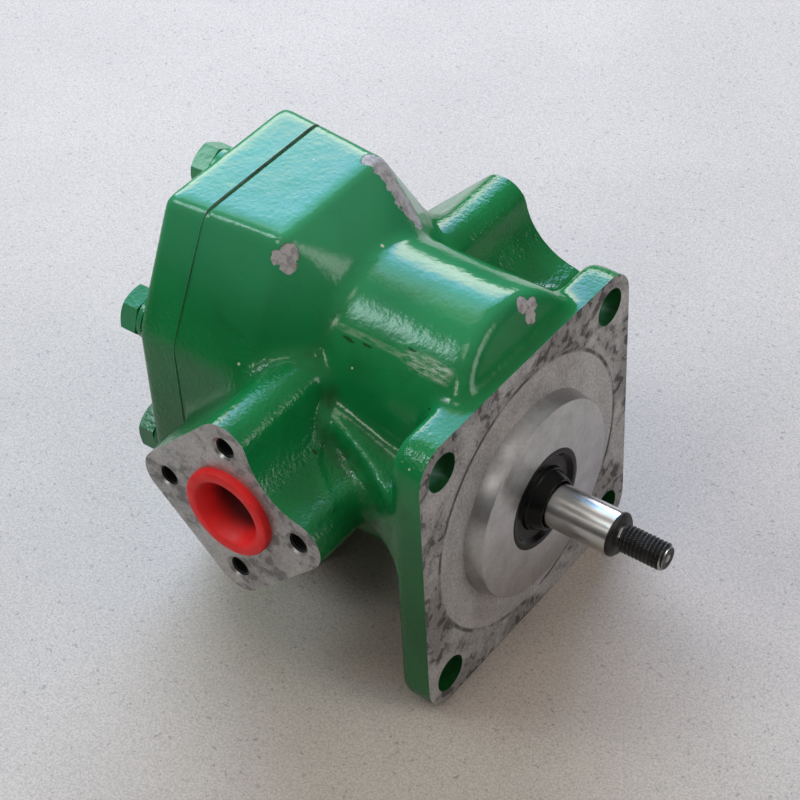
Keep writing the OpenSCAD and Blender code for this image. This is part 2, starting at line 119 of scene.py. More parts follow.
class CastingSizes(bpy.types.PropertyGroup):
    """Sizes of the cast body and its rear cover."""

    flange_half: length("Flange half side", "Half the side of the square flange", -BODY_LOW.z)
    flange_thick: length("Flange thickness", "Thickness of the flange", 13 * MM)
    flange_corner: length("Flange corner", "Corner radius of the flange", 12 * MM)
    flange_round: length("Flange rounding", "Rounding of the flange's back edges", 3.5 * MM)
    mount_at: length("Mounting hole place", "Distance of the mounting holes from the middle lines",
                     dims("mounting_flange", "spacing_x_mm") / 2)
    mount_r: length("Mounting hole radius", "Radius of the mounting holes",
                    dims("mounting_flange", "hole_r_mm"))
    seat_r: length("Nut seat radius", "Radius of the nut seats behind the flange", 11 * MM)
    seat_sink: length("Nut seat sink", "Depth of the nut seats in the flange", 0.5 * MM)
    trough_r: length("Web trough radius", "Radius of the troughs along the tops of the webs", 14 * MM)
    trough_in: length("Web trough inset", "Distance of the troughs from the webs' outer faces", 5 * MM)
    trough_z: length("Web trough height", "Height of the middle of the troughs at the necks", 60.5 * MM)
    trough_fall: amount("Web trough fall", "Fall of the troughs towards the flange", 0.3)
    trough_turn: FloatProperty(name="Web trough turn", description="Angle the troughs run along the flare",
                               default=math.radians(40), subtype="ANGLE")
    pilot_r: length("Pilot radius", "Radius of the pilot", dims("pilot", "r_mm"))
    pilot_round: length("Pilot rounding", "Rounding of the pilot's front edge", 0.9 * MM)
    pilot_slope: amount("Pilot slope", "Slope of the pilot's wall", 0.2)
    scribe_r: length("Ring line radius", "Radius of the thin turned line on the flange", 51.5 * MM)
    scribe_w: length("Ring line width", "Width of the thin turned line on the flange", 0.7 * MM)
    scribe_depth: length("Ring line depth", "Depth of the thin turned line on the flange", 0.14 * MM)
    case_r: length("Case radius", "Radius of the case around the gears", 37.8 * MM)
    case_waist: length("Case waist", "Half width of the case between the gears", 34 * MM)
    slope_back: length("Slope back", "Distance of the slope's top behind the flange face", 10 * MM)
    slope_foot: length("Slope foot", "Distance of the slope's foot behind the flange face", 3 * MM)
    slope_round: length("Slope rounding", "Rounding where the case turns down to the flange", 3 * MM)
    box_top_half: length("Box top half width", "Half width of the box's flat top", 26.5 * MM)
    box_shoulder: length("Box shoulder", "Height of the box's shoulders", 50 * MM)
    box_knee: length("Box knee", "Depth of the box's lower knees", 11 * MM)
    box_draft: amount("Box draft", "Widening of the box's top towards its back", 0.1)
    box_front: length("Box front", "Distance of the box's front behind the flange face", 77.5 * MM)
    box_blend: length("Box blend", "Length of the slope from the box in to the case", 18.5 * MM)
    box_round: length("Box rounding", "Width of the rounding on the box's edges", 2.6 * MM)
    seam_groove: length("Seam groove", "Depth of the groove at the top of the cover joint", 0.9 * MM)
    seam_half: length("Seam half width", "Half the width of the groove at the cover joint", 0.9 * MM)
    seam_fill: length("Seam under paint", "Depth of the groove where paint fills it", 0.3 * MM)
    lobe_r: length("Port lobe radius", "Radius of the lobes around the port screws", 10 * MM)
    scoop_in: length("Port scoop", "Distance of the scooped side from the middle of the port", 23.4 * MM)
    web_root: length("Web root", "Half width of the webs at the ports", 43.5 * MM)
    web_flare: length("Web flare", "Outward flare of the webs at the flange", 15 * MM)
    web_flare_r: length("Web flare radius", "Radius of the webs' flare", 80 * MM)
    web_top: length("Web top", "Height of the top of the webs", 44 * MM)
    web_low: length("Web bottom", "Height of the bottom of the webs", 5 * MM)
    web_round: length("Web rounding", "Rounding of the webs' long edges", 3.5 * MM)
    chamber_play: length("Chamber play", "Play of the bearing blocks in the gear chamber", 0.05 * MM)
    shaft_hole_r: length("Shaft hole radius", "Radius of the shaft hole behind the seal", 9 * MM)
    port_r: length("Port radius", "Radius of the ports", dims("outlet_port_bore", "r_mm"))
    port_depth: length("Port depth", "Depth of the ports", dims("outlet_port_bore", "length_mm"))
    port_round: length("Port rounding", "Rounding of the ports' mouths", 0.6 * MM)
    passage_r: length("Passage radius", "Radius of the passages from the ports to the gears", 11 * MM)
    bolt_hole_play: length("Bolt hole play", "Play of the bolts in the cover", 0.5 * MM)
    bolt_bite: length("Bolt bite", "Depth of the bolts in the body", 22 * MM)
    flash: length("Flash height", "Height of the mould line on the necks", 0.7 * MM)
    flash_reach: length("Flash reach", "Half the width of the mould line on the necks", 1.7 * MM)
    voxel: length("Surface step", "Step of the cast surface's mesh", 1.3 * MM)
    fillet: length("Fillet", "Radius of the fillets in the casting's corners", 3 * MM)
    smoothing: IntProperty(name="Smoothing", description="Smoothing passes over the cast surface", default=8)


class HardwareSizes(bpy.types.PropertyGroup):
    """Sizes of the bolts, the threads, the seal and the plug."""

    bolt_r: length("Bolt radius", "Radius of the cover bolts", 5 * MM)
    bolt_head: length("Bolt head", "Width across flats of the bolt heads", 16 * MM)
    bolt_head_land: length("Bolt head land", "Inset of the bolt heads' flat ends", 0.2 * MM)
    bolt_inset: length("Bolt inset", "Distance of the bolts from the box's sides", 10.5 * MM)
    bolt_upper_z: length("Upper side bolts", "Height of the upper side bolts", 48 * MM)
    bolt_lower_z: length("Lower side bolts", "Depth of the lower side bolts below the shaft", 5 * MM)
    washer_r: length("Washer radius", "Radius of the washers", 8.5 * MM)
    washer_play: length("Washer play", "Play of the bolts in the washers", 0.5 * MM)
    washer_round: length("Washer rounding", "Rounding of the washers", 0.6 * MM)
    dowel_r: length("Dowel radius", "Radius of the dowel pins", 4 * MM)
    tap_r: length("Port thread root", "Radius of the port screw holes inside the thread",
                  dims("inlet_port_screws", "hole_r_mm"))
    tap_depth: length("Port thread depth", "Depth of the port screw holes", 18 * MM)
    tap_bevel: length("Port thread bevel", "Bevel at the port screw holes' mouths", 1.25 * MM)
    tap_bevel_run: factor("Port thread bevel run", "Part of the bevel that runs down into the hole", 0.95)
    tap_pitch: length("Port thread pitch", "Pitch of the port screw threads", 1.25 * MM)
    tap_cut: length("Port thread depth of cut", "Depth of the port screw threads", 0.72 * MM)
    port_at: length("Port screw circle", "Radius of the circle of port screws",
                    dims("inlet_port_screws", "pcd_mm") / 2)
    stud_r: length("Stud radius", "Radius of the shaft's threaded end", 5 * MM)
    stud_len: length("Stud length", "Length of the shaft's threaded end", 18 * MM)
    stud_pitch: length("Stud pitch", "Pitch of the shaft's thread", 1.5 * MM)
    stud_cut: length("Stud thread depth", "Depth of the shaft's thread", 0.92 * MM)
    stud_runout: length("Stud run-out", "Length of the thread's run-out at the shoulder", 1.6 * MM)
    dimple_r: length("Dimple radius", "Radius of the dimple in the stud's tip", 1.4 * MM)
    dimple_depth: length("Dimple depth", "Depth of the dimple in the stud's tip", 1.6 * MM)
    shaft_r: length("Shaft radius", "Radius of the shaft's end", dims("shaft_end", "r_mm"))
    ground_from: length("Ground end start", "Distance of the ground end's start in front of the seal", 2 * MM)
    black_run: length("Blackened run", "Length of the blackened shoulder of the shaft", 1.9 * MM)
    stud_bevel: length("Stud bevel", "Bevel at the tip of the stud", 1.1 * MM)
    seal_lip: length("Seal lip", "Radius of the lip on the shaft", 8.6 * MM)
    seal_round: length("Seal rounding", "Rounding of the seal's rims", 0.4 * MM)
    seal_dish: length("Seal dish", "Depth of the seal's face below its rims", 1.6 * MM)
    seal_out: length("Dust lip", "Length of the seal's dust lip along the shaft", 4.6 * MM)
    seal_rim: length("Seal rim", "Width of the seal's outer rim", 2 * MM)
    seal_collar: length("Seal collar", "Width of the raised ring around the shaft", 3.4 * MM)
    seal_wall: length("Seal wall", "Wall of the seal", 2 * MM)
    seal_land: length("Seal land", "Distance of the sealing lip from the seal's back", 2.2 * MM)
    seal_soft: length("Seal shoulder", "Width of the soft shoulder on the raised ring", 0.4 * MM)
    plug_r: length("Plug radius", "Radius of the plug in the port", 12.7 * MM)
    plug_wall: length("Plug wall", "Wall of the plug", 1.4 * MM)
    plug_rim: length("Plug rim", "Thickness of the plug's rim", 3 * MM)
    plug_lip: length("Plug lip", "Width of the plug's rim round its mouth", 4 * MM)
    plug_round: length("Plug rounding", "Rounding of the plug's rim", 0.9 * MM)
    plug_lead: length("Plug lead", "Bevel at the plug's inner end", 1.2 * MM)
    plug_soft: length("Plug mouth rounding", "Rounding of the plug's mouth", 0.6 * MM)
    plug_neck: length("Plug neck", "How far the plug's hole is drawn in at the port's face", 0.4 * MM)
    plug_taper: length("Plug taper", "How far the plug's hole is drawn in at its floor", 1.8 * MM)


class FinishLook(bpy.types.PropertyGroup):
    """Colours and strengths of the finishes."""

    paint: colour("Paint", "Green paint on the casting", (0.006, 0.172, 0.046))
    # The dark paint is painted shade in corners, creases, low down and in the mounting bores, and dirt in
    # stains and gouges.
    paint_shade_and_dirt: colour("Paint in corners", "Green paint in the corners, darkened by dirt",
                       (0.006, 0.068, 0.013))
    # The pale paint is worn thin paint and painted highlight on edges, and painted sheen on the top.
    paint_worn_and_sheen: colour("Paint on edges", "Green paint where it is thin on the edges", (0.055, 0.31, 0.15))
    primer: colour("Bare chips", "Bare patches where the paint is chipped off", (0.42, 0.385, 0.385))
    # The dust colour also paints a light's reflection in the scuffed band and glints in the nicks.
    dust: colour("Dust", "Pale dust in the scuffs", (0.42, 0.47, 0.36))
    iron: colour("Machined iron", "Machined faces of the casting", (0.47, 0.455, 0.45))
    bright_iron: colour("Pilot", "Cleaner turned iron of the pilot", (0.5, 0.495, 0.5))
    grime: colour("Grime", "Dark stains on the machined faces", (0.045, 0.042, 0.04))
    rust: colour("Rust", "Rust tint on the machined faces", (0.17, 0.085, 0.05))
    steel: colour("Ground steel", "Ground steel of the shaft", (0.58, 0.575, 0.57))
    # The blackened steel also stands in the port screw holes as painted shade.
    black_steel: colour("Blackened steel", "Blackened steel of the thread", (0.022, 0.021, 0.021))
    rubber: colour("Rubber", "Black rubber of the seal", (0.006, 0.006, 0.006))
    plastic: colour("Plug", "Red plastic of the plug", (0.8, 0.016, 0.016))
    bronze: colour("Bronze", "Bronze of the bushes and plates", (0.42, 0.24, 0.09))
    alloy: colour("Bearing alloy", "Aluminium of the bearing blocks", (0.58, 0.58, 0.59))
    floor: colour("Floor", "Pale floor", (0.517, 0.445, 0.39))
    peel: factor("Orange peel", "Strength of the paint's fine waves", 1.0)


class StageLook(bpy.types.PropertyGroup):
    """Camera and light."""

    lens: amount("Lens", "Focal length in millimetres", 103)
    place: FloatVectorProperty(name="Camera", description="Place of the camera", unit="LENGTH",
                               subtype="TRANSLATION", size=3, default=(0.3128, -0.4509, 0.5508))
    right: heading("Right", "Camera's right-hand direction", (0.7991, 0.5997, -0.0427))
    back: heading("Back", "Direction from the object to the camera", (0.4638, -0.5698, 0.6784))
    ambient: amount("Ambient", "Strength of the light from all round", 0.08)
    window: amount("Window", "Strength of the window behind the pump", 13)
    overhead: amount("Overhead", "Power of the panel above the pump", 2.2)
    skylight: amount("Skylight", "Power of the panel high behind the pump", 1.2)
    left: amount("Left", "Power of the panel high on the left", 6.6)
    zenith: amount("Zenith", "Strength of the light from straight above", 0.48)
    side: amount("Side", "Power of the panel beside the pump", 2.5)
    front: amount("Front", "Power of the panel in front of the flange", 6.6)
    floor_side: length("Floor side", "Side of the floor", 8)


# Shapes

def block(bm, low, high):
    """Adds a box between two corners and gives its vertices."""
    low, high = Vector(low), Vector(high)
    size = high - low
    place = Matrix.Translation((low + high) / 2) @ Matrix.Diagonal((size.x, size.y, size.z, 1))
    return bmesh.ops.create_cube(bm, size=1, matrix=place)["verts"]


def bar(bm, radius, start, end, segments=64):
    """Adds a round bar between two points."""
    start, end = Vector(start), Vector(end)
    run = end - start
    place = Matrix.Translation((start + end) / 2) @ run.to_track_quat("Z", "Y").to_matrix().to_4x4()
    bmesh.ops.create_cone(bm, cap_ends=True, segments=segments, radius1=radius, radius2=radius,
                          depth=run.length, matrix=place)


def drawn_out(bm, outline, run):
    """Adds a flat outline drawn out along a vector, and gives its vertices."""
    verts = [bm.verts.new(point) for point in outline]
    face = bm.faces.new(verts)
    made = bmesh.ops.extrude_face_region(bm, geom=[face])
    far = [item for item in made["geom"] if isinstance(item, bmesh.types.BMVert)]
    bmesh.ops.translate(bm, verts=far, vec=run)
    bmesh.ops.recalc_face_normals(bm, faces=list({f for v in verts + far for f in v.link_faces}))
    return verts + far


def turned(bm, profile, origin, axis, segments):
    """Spins a closed outline of (distance along the axis, radius) points into a solid."""
    origin, axis = Vector(origin), Vector(axis)
    side = axis.orthogonal().normalized()
    verts = [bm.verts.new(origin + axis * along + side * radius) for along, radius in profile]
    edges = [bm.edges.new(pair) for pair in zip(verts, verts[1:])]
    if profile[0][1] > 0 and profile[-1][1] > 0:
        edges.append(bm.edges.new((verts[-1], verts[0])))
    bmesh.ops.spin(bm, geom=verts + edges, cent=origin, axis=axis, angle=2 * math.pi, steps=segments,
                   use_merge=True)
    bmesh.ops.remove_doubles(bm, verts=bm.verts, dist=POINT_GAP)
    bmesh.ops.recalc_face_normals(bm, faces=bm.faces)


def soft_profile(profile, radius, segments=3):
    """Rounds the corners of a closed profile that lies off the axis, by bevelling them in a flat face."""
    bm = bmesh.new()
    verts = [bm.verts.new((along, off, 0)) for along, off in profile]
    bm.faces.new(verts)
    bmesh.ops.bevel(bm, geom=verts, offset=radius, offset_type="OFFSET", segments=segments, profile=0.5,
                    affect="VERTICES", material=-1, clamp_overlap=True)
    face = max(bm.faces, key=lambda f: f.calc_area())
    points = [(loop.vert.co.x, loop.vert.co.y) for loop in face.loops]
    bm.free()
    return points


def screw(bm, start, axis, core_r, tip_r, pitch, run, segments):
    """Adds a helical ridge that stands on a core, as one closed solid."""
    start, axis = Vector(start), Vector(axis)
    side = axis.orthogonal().normalized()
    foot = 0.46 * pitch
    crest = 0.07 * pitch
    profile = ((-foot, core_r), (-crest, tip_r), (crest, tip_r), (foot, core_r))
    verts = [bm.verts.new(start + axis * along + side * radius) for along, radius in profile]
    face = bm.faces.new(verts)
    turns = run / pitch
    steps = int(turns * segments)
    bmesh.ops.spin(bm, geom=[face] + list(face.edges) + verts, cent=start, axis=axis,
                   dvec=axis * (run / steps), angle=2 * math.pi * turns, steps=steps)
    bmesh.ops.recalc_face_normals(bm, faces=bm.faces)


def round_edges(bm, edges, radius, segments=4):
    """Rounds edges and gives the faces of the rounding."""
    made = bmesh.ops.bevel(bm, geom=list(edges), offset=radius, offset_type="OFFSET", segments=segments,
                           profile=0.5, affect="EDGES", material=-1)
    return made["faces"]


def edges_along(verts, axis):
    """The edges at some vertices that run along an axis, which is given by its number."""
    edges = {edge for vert in verts for edge in vert.link_edges}
    return [e for e in edges if abs(e.verts[0].co[axis] - e.verts[1].co[axis]) > MM]


def add_copies(bm, mesh, places):
    """Adds a mesh once for each place."""
    for place in places:
        start = len(bm.verts)
        bm.from_mesh(mesh)
        bm.verts.ensure_lookup_table()
        bmesh.ops.transform(bm, matrix=place, verts=bm.verts[start:])


# Objects

def scratch(bm, name, *finishes):
    """Puts a bmesh into a new object with its finishes, which isn't a finished piece yet."""
    mesh = bpy.data.meshes.new(name)
    bm.to_mesh(mesh)
    bm.free()
    obj = bpy.data.objects.new(name, mesh)
    bpy.context.scene.collection.objects.link(obj)
    for finish in finishes:
        mesh.materials.append(bpy.data.materials[finish])
    return obj


def block_tool(name, finish, low, high):
    """A scratch box with a finish."""
    bm = bmesh.new()
    block(bm, low, high)
    return scratch(bm, name, finish)


def turned_tool(name, finish, profile, segments=96, origin=(0, 0, 0), axis=X_AXIS):
    """A scratch turned solid with a finish."""
    bm = bmesh.new()
    turned(bm, profile, origin, axis, segments)
    return scratch(bm, name, finish)


def bars_tool(name, finish, bars, segments=64):
    """Scratch round bars with a finish, each given by its radius and its two ends."""
    bm = bmesh.new()
    for radius, start, end in bars:
        bar(bm, radius, start, end, segments)
    return scratch(bm, name, finish)


def drop(obj):
    """Removes a scratch object and its mesh."""
    mesh = obj.data
    bpy.data.objects.remove(obj)
    bpy.data.meshes.remove(mesh)


def move_into(bm, obj):
    """Moves a scratch object's mesh into a bmesh."""
    bm.from_mesh(obj.data)
    drop(obj)


def refinish(mesh, finish):
    """Gives a mesh one finish in place of any others."""
    mesh.materials.clear()
    mesh.materials.append(bpy.data.materials[finish])


def applied(obj):
    """Applies an object's modifiers to its mesh."""
    evaluated = obj.evaluated_get(bpy.context.evaluated_depsgraph_get())
    mesh = bpy.data.meshes.new_from_object(evaluated)
    old = obj.data
    obj.modifiers.clear()
    obj.data = mesh
    bpy.data.meshes.remove(old)


def carve(obj, tool, operation="DIFFERENCE"):
    """Cuts an object with a scratch object, joins it on or keeps what they share, and drops the tool."""
    step = obj.modifiers.new("carve", "BOOLEAN")
    step.operation = operation
    step.solver = "MANIFOLD"
    step.object = tool
    step.material_mode = "TRANSFER"
    applied(obj)
    if not obj.data.polygons:
        raise RuntimeError(f"{obj.name} was lost in a cut by {tool.name}")
    drop(tool)


def mark_edges(obj):
    """Keeps how far each point of the surface stands out, for wear and painted highlight on edges and for
    dirt and painted shade in corners.
    """
    bm = bmesh.new()
    bm.from_mesh(obj.data)
    bm.normal_update()
    layer = bm.verts.layers.float.new("ridge")
    for vert in bm.verts:
        others = [edge.other_vert(vert).co - vert.co for edge in vert.link_edges]
        reach = sum(step.length for step in others)
        vert[layer] = -sum(step.dot(vert.normal) for step in others) / reach if reach else 0
    for _ in range(2):
        mean = {vert: sum(e.other_vert(vert)[layer] for e in vert.link_edges) / max(1, len(vert.link_edges))
                for vert in bm.verts}
        for vert, value in mean.items():
            vert[layer] = (vert[layer] + value) / 2
    bm.to_mesh(obj.data)
    bm.free()


def finish_piece(obj, name, body, nodes, crease=35):
    """Clears a piece of faces without area, names it, smooths it and puts it in place of its solids."""
    bm = bmesh.new()
    bm.from_mesh(obj.data)
    bmesh.ops.dissolve_degenerate(bm, dist=WELD, edges=bm.edges)
    bm.to_mesh(obj.data)
    bm.free()
    obj.name = name
    obj.data.name = name
    obj.data.shade_smooth()
    obj.data.set_sharp_from_angle(angle=math.radians(crease))
    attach(obj, body)
    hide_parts(*nodes)


# Shader nodes

def put(tree, socket, value):
    """Links a socket, or sets it to a value or a colour."""
    if isinstance(value, bpy.types.NodeSocket):
        tree.links.new(value, socket)
    elif socket.type == "RGBA" and len(value) == 3:
        socket.default_value = (*value, 1)
    else:
        socket.default_value = value


def add_node(tree, kind, inputs=None, **settings):
    """Adds a node with its settings, and links or sets its inputs."""
    made = tree.nodes.new(kind)
    for key, value in settings.items():
        setattr(made, key, value)
    for socket, value in (inputs or {}).items():
        put(tree, made.inputs[socket], value)
    return made


def calc(tree, operation, first, second=0.5, clamp=False):
    """A math node's result."""
    inputs = {0: first, 1: second}
    return add_node(tree, "ShaderNodeMath", inputs, operation=operation, use_clamp=clamp).outputs[0]


def times(tree, first, second):
    """One value times another."""
    return calc(tree, "MULTIPLY", first, second)


def spread(tree, value, low, high, to_low=0.0, to_high=1.0):
    """A value spread smoothly from one range to another."""
    inputs = {"Value": value, "From Min": low, "From Max": high, "To Min": to_low, "To Max": to_high}
    return add_node(tree, "ShaderNodeMapRange", inputs, interpolation_type="SMOOTHSTEP").outputs["Result"]


def blend(tree, amount, first, second):
    """A mix of two colours."""
    return add_node(tree, "ShaderNodeMix", {0: amount, 6: first, 7: second}, data_type="RGBA").outputs[2]


def axes(tree, vector):
    """The three parts of a vector."""
    return add_node(tree, "ShaderNodeSeparateXYZ", {0: vector}).outputs


def shaft_distance(tree, vector):
    """The distance of a point from the shaft's axis."""
    parts = axes(tree, vector)
    flat = add_node(tree, "ShaderNodeCombineXYZ", {"Y": parts["Y"], "Z": parts["Z"]}).outputs[0]
    return add_node(tree, "ShaderNodeVectorMath", {0: flat}, operation="LENGTH").outputs["Value"]


def stretched(tree, vector, scale):
    """A vector scaled along its axes."""
    return add_node(tree, "ShaderNodeMapping", {"Vector": vector, "Scale": scale}).outputs[0]


def tinted(tree, tint, tone):
    """A colour made lighter or darker."""
    inputs = {0: tuple(tint), "Scale": tone}
    return add_node(tree, "ShaderNodeVectorMath", inputs, operation="SCALE").outputs[0]


def shade(tint, amount):
    """A plain colour times a number."""
    return tuple(part * amount for part in tint)


def noise(tree, vector, scale, detail=2.0, roughness=0.5, distortion=0.0):
    """A noise value over a vector."""
    inputs = {"Vector": vector, "Scale": scale, "Detail": detail, "Roughness": roughness,
              "Distortion": distortion}
    return add_node(tree, "ShaderNodeTexNoise", inputs).outputs["Fac"]


def mottled(tree, coords, scale, low, high, detail=4.0, roughness=0.6, ends=(0.3, 0.7)):
    """A value that wanders between two others over the surface."""
    return spread(tree, noise(tree, coords, scale, detail, roughness), *ends, low, high)


def new_group(name, inputs, output):
    """A shader node group that takes a vector and some values, and its two ends."""
    group = bpy.data.node_groups.new(name, "ShaderNodeTree")
    sockets = group.interface
    sockets.new_socket("Vector", in_out="INPUT", socket_type="NodeSocketVector")
    for label, default in inputs.items():
        if default is None:
            sockets.new_socket(label, in_out="INPUT", socket_type="NodeSocketVector")
        else:
            sockets.new_socket(label, in_out="INPUT", socket_type="NodeSocketFloat").default_value = default
    sockets.new_socket(output, in_out="OUTPUT", socket_type="NodeSocketFloat")
    return group, group.nodes.new("NodeGroupInput").outputs, group.nodes.new("NodeGroupOutput").inputs[output]


def use_group(tree, name, inputs):
    """Places a node group in a material and gives its output."""
    return add_node(tree, "ShaderNodeGroup", inputs, node_tree=bpy.data.node_groups[name]).outputs[0]


def stains(tree, coords, scale, cover, soft=0.08):
    """The mask of ragged stains that cover part of a surface."""
    return use_group(tree, "stains", {"Vector": coords, "Scale": scale, "Cover": cover, "Soft": soft})


def make_groups():
    """Builds the effects that more than one finish uses."""
    group, given, result = new_group("spot", {"Centre": None, "Radius": 3 * MM, "Ragged": 0.5}, "Mask")
    inputs = {0: given["Vector"], 1: given["Centre"]}
    away = add_node(group, "ShaderNodeVectorMath", inputs, operation="DISTANCE").outputs["Value"]
    rough = calc(group, "SUBTRACT", noise(group, given["Vector"], 480, 4, 0.62), 0.5)
    rough = times(group, rough, given["Ragged"])
    near = calc(group, "ADD", calc(group, "DIVIDE", away, given["Radius"]), rough)
    group.links.new(spread(group, near, 1.06, 0.94), result)

    group, given, result = new_group("stains", {"Scale": 60, "Cover": 0.5, "Soft": 0.08}, "Mask")
    cloud = noise(group, given["Vector"], given["Scale"], 6, 0.62, 0.4)
    low = calc(group, "SUBTRACT", given["Cover"], given["Soft"])
    high = calc(group, "ADD", given["Cover"], given["Soft"])
    group.links.new(spread(group, cloud, high, low), result)

    group, given, result = new_group("peel", {"Fine": 900, "Rough": 0.0}, "Height")
    fine = noise(group, given["Vector"], given["Fine"], 1.5)
    wave = times(group, noise(group, given["Vector"], 110), 3.0)
    pebble = times(group, noise(group, given["Vector"], 700), given["Rough"])
    group.links.new(calc(group, "ADD", calc(group, "ADD", fine, wave), pebble), result)

    group, given, result = new_group("turned_rings", {"Pitch": 0.5 * MM}, "Height")
    steps = calc(group, "DIVIDE", shaft_distance(group, given["Vector"]), given["Pitch"])
    inputs = {"W": steps, "Scale": 1.0, "Detail": 2}
    lines = add_node(group, "ShaderNodeTexNoise", inputs, noise_dimensions="1D")
    group.links.new(lines.outputs["Fac"], result)


def new_material(name):
    """A material with its shader and the object's own coordinates."""
    material = bpy.data.materials.new(name)
    material.use_nodes = True
    tree = material.node_tree
    return tree, tree.nodes["Principled BSDF"], tree.nodes.new("ShaderNodeTexCoord").outputs["Object"]


def feed(tree, shader, **sockets):
    """Links or sets inputs of a shader, named with underscores for spaces."""
    for key, value in sockets.items():
        put(tree, shader.inputs[key.replace("_", " ")], value)


def bump(tree, shader, height, strength, distance):
    """Feeds a height to a shader's normal."""
    made = add_node(tree, "ShaderNodeBump", {"Height": height, "Strength": strength, "Distance": distance})
    tree.links.new(made.outputs["Normal"], shader.inputs["Normal"])


# Finishes

# Marks on the paint, in millimetres: middle, radius and raggedness
CHIPS = (
    ((-77.4, -29.6, 87.0), 2.5, 1.1), ((-74.8, -26.6, 88.2), 3.2, 1.1), ((-73.8, -28.5, 84.4), 2.8, 1.1),
    ((-79.0, 22.5, 93.0), 3.4, 1.3), ((-75.4, 24.0, 91.0), 4.2, 1.3), ((-72.0, 24.5, 86.8), 4.4, 1.3),
    ((-68.4, 24.5, 81.4), 4.6, 1.3), ((-65.2, 25.5, 76.6), 4.6, 1.3), ((-62.6, 26.5, 72.2), 3.4, 1.3),
    ((-8.6, 8.8, 72.6), 2.7, 1.1), ((-7.6, 13.0, 70.6), 2.3, 1.1), ((-6.6, 10.2, 68.0), 2.6, 1.1),
)
GOUGES = (
    ((-52.0, -28.1, 64.2), 0.4, 2.4), ((-50.2, -28.5, 63.7), 0.35, 2.4), ((-44.0, -27.8, 64.5), 0.38, 2.4),
    ((-57.6, -26.6, 66.8), 0.35, 2.4), ((-28.4, -24.4, 68.0), 0.3, 2.4), ((-10.4, -31.8, 60.8), 0.35, 1.6),
    ((-47.5, -53.8, 35.8), 0.6, 2.2), ((-14.0, -34.6, 57.2), 0.5, 1.6),
)
# Pale nicks, which also serve as painted glints on bumps of the paint
NICKS_AND_GLINTS = (
    ((-80.5, -49.8, 54.5), 0.55, 1.6), ((-46.5, -33.0, 57.3), 0.4, 0.6), ((-100.3, -42.6, 66.4), 0.35, 0.8),
    ((-5.1, -57.9, 54.6), 0.4, 1.5), ((-8.4, -57.2, 55.6), 0.3, 1.5), ((-9.4, -30.8, 61.0), 0.7, 1.0),
    ((-60.4, 3.0, 77.6), 0.7, 1.6), ((-95.0, 12.0, 93.0), 0.4, 1.4), ((-30.0, -47.2, 44.0), 0.5, 1.4),
)
GOUGE_STRETCH = 4.5
# The scuffed band, which also holds a painted reflection of a light, in millimetres: its line in Y and Z, its
# span along the shaft and its width
SCUFF_SHEEN_LINE = (-26.4, 66.0)
SCUFF_SHEEN_SPAN = (-62, -34, -24, -10)
SCUFF_SHEEN_WIDTH = (1.6, 4.2)
# Where the paint gets darker as painted shade and rougher towards the bottom, paler as painted sheen towards
# the top, and pebbled, in millimetres: from none to all
SHADE_BELOW = (50, 6)
SHEEN_ABOVE = (60, 90)
PEBBLED_BEYOND = (40, 50)
# Where painted shade darkens the plug's hole, in millimetres behind its face
PLUG_SHADE = (4, 11)


def in_metres(sizes):
    """Sizes in millimetres, as metres."""
    return [size * MM for size in sizes]


def spots(tree, coords, places, stretch=1.0):
    """The joint mask of a list of spots, drawn out along the shaft by a factor."""
    squeeze = (1 / stretch, 1, 1)
    coords = stretched(tree, coords, squeeze)
    mask = None
    for centre, radius, ragged in places:
        middle = [part * size * MM for part, size in zip(centre, squeeze)]
        inputs = {"Vector": coords, "Centre": middle, "Radius": radius * MM, "Ragged": ragged}
        one = use_group(tree, "spot", inputs)
        mask = one if mask is None else calc(tree, "MAXIMUM", mask, one)
    return mask


def scuff_and_sheen_mask(tree, coords):
    """A dusty rubbed band along the near side of the hump, thickest towards the flange, that also paints the
    pale reflection of a light on scratched paint.
    """
    parts = axes(tree, coords)
    across = [calc(tree, "SUBTRACT", parts[axis], place) for axis, place in zip("YZ", in_metres(SCUFF_SHEEN_LINE))]
    away = calc(tree, "SQRT", calc(tree, "ADD", *(times(tree, side, side) for side in across)))
    start, grow, full, end = in_metres(SCUFF_SHEEN_SPAN)
    wide = spread(tree, parts["X"], grow, full, *in_metres(SCUFF_SHEEN_WIDTH))
    band = spread(tree, calc(tree, "DIVIDE", away, wide), 1.0, 0.35)
    band = times(tree, band, spread(tree, parts["X"], grow, full, 0.35, 1.0))
    band = times(tree, band, spread(tree, parts["X"], end, end - 4 * MM))
    band = times(tree, band, spread(tree, parts["X"], start, start + 8 * MM))
    lines = mottled(tree, stretched(tree, coords, (0.25, 1, 1)), 520, 0, 1, 4, 0.7, (0.38, 0.62))
    return calc(tree, "MULTIPLY", band, lines, clamp=True)


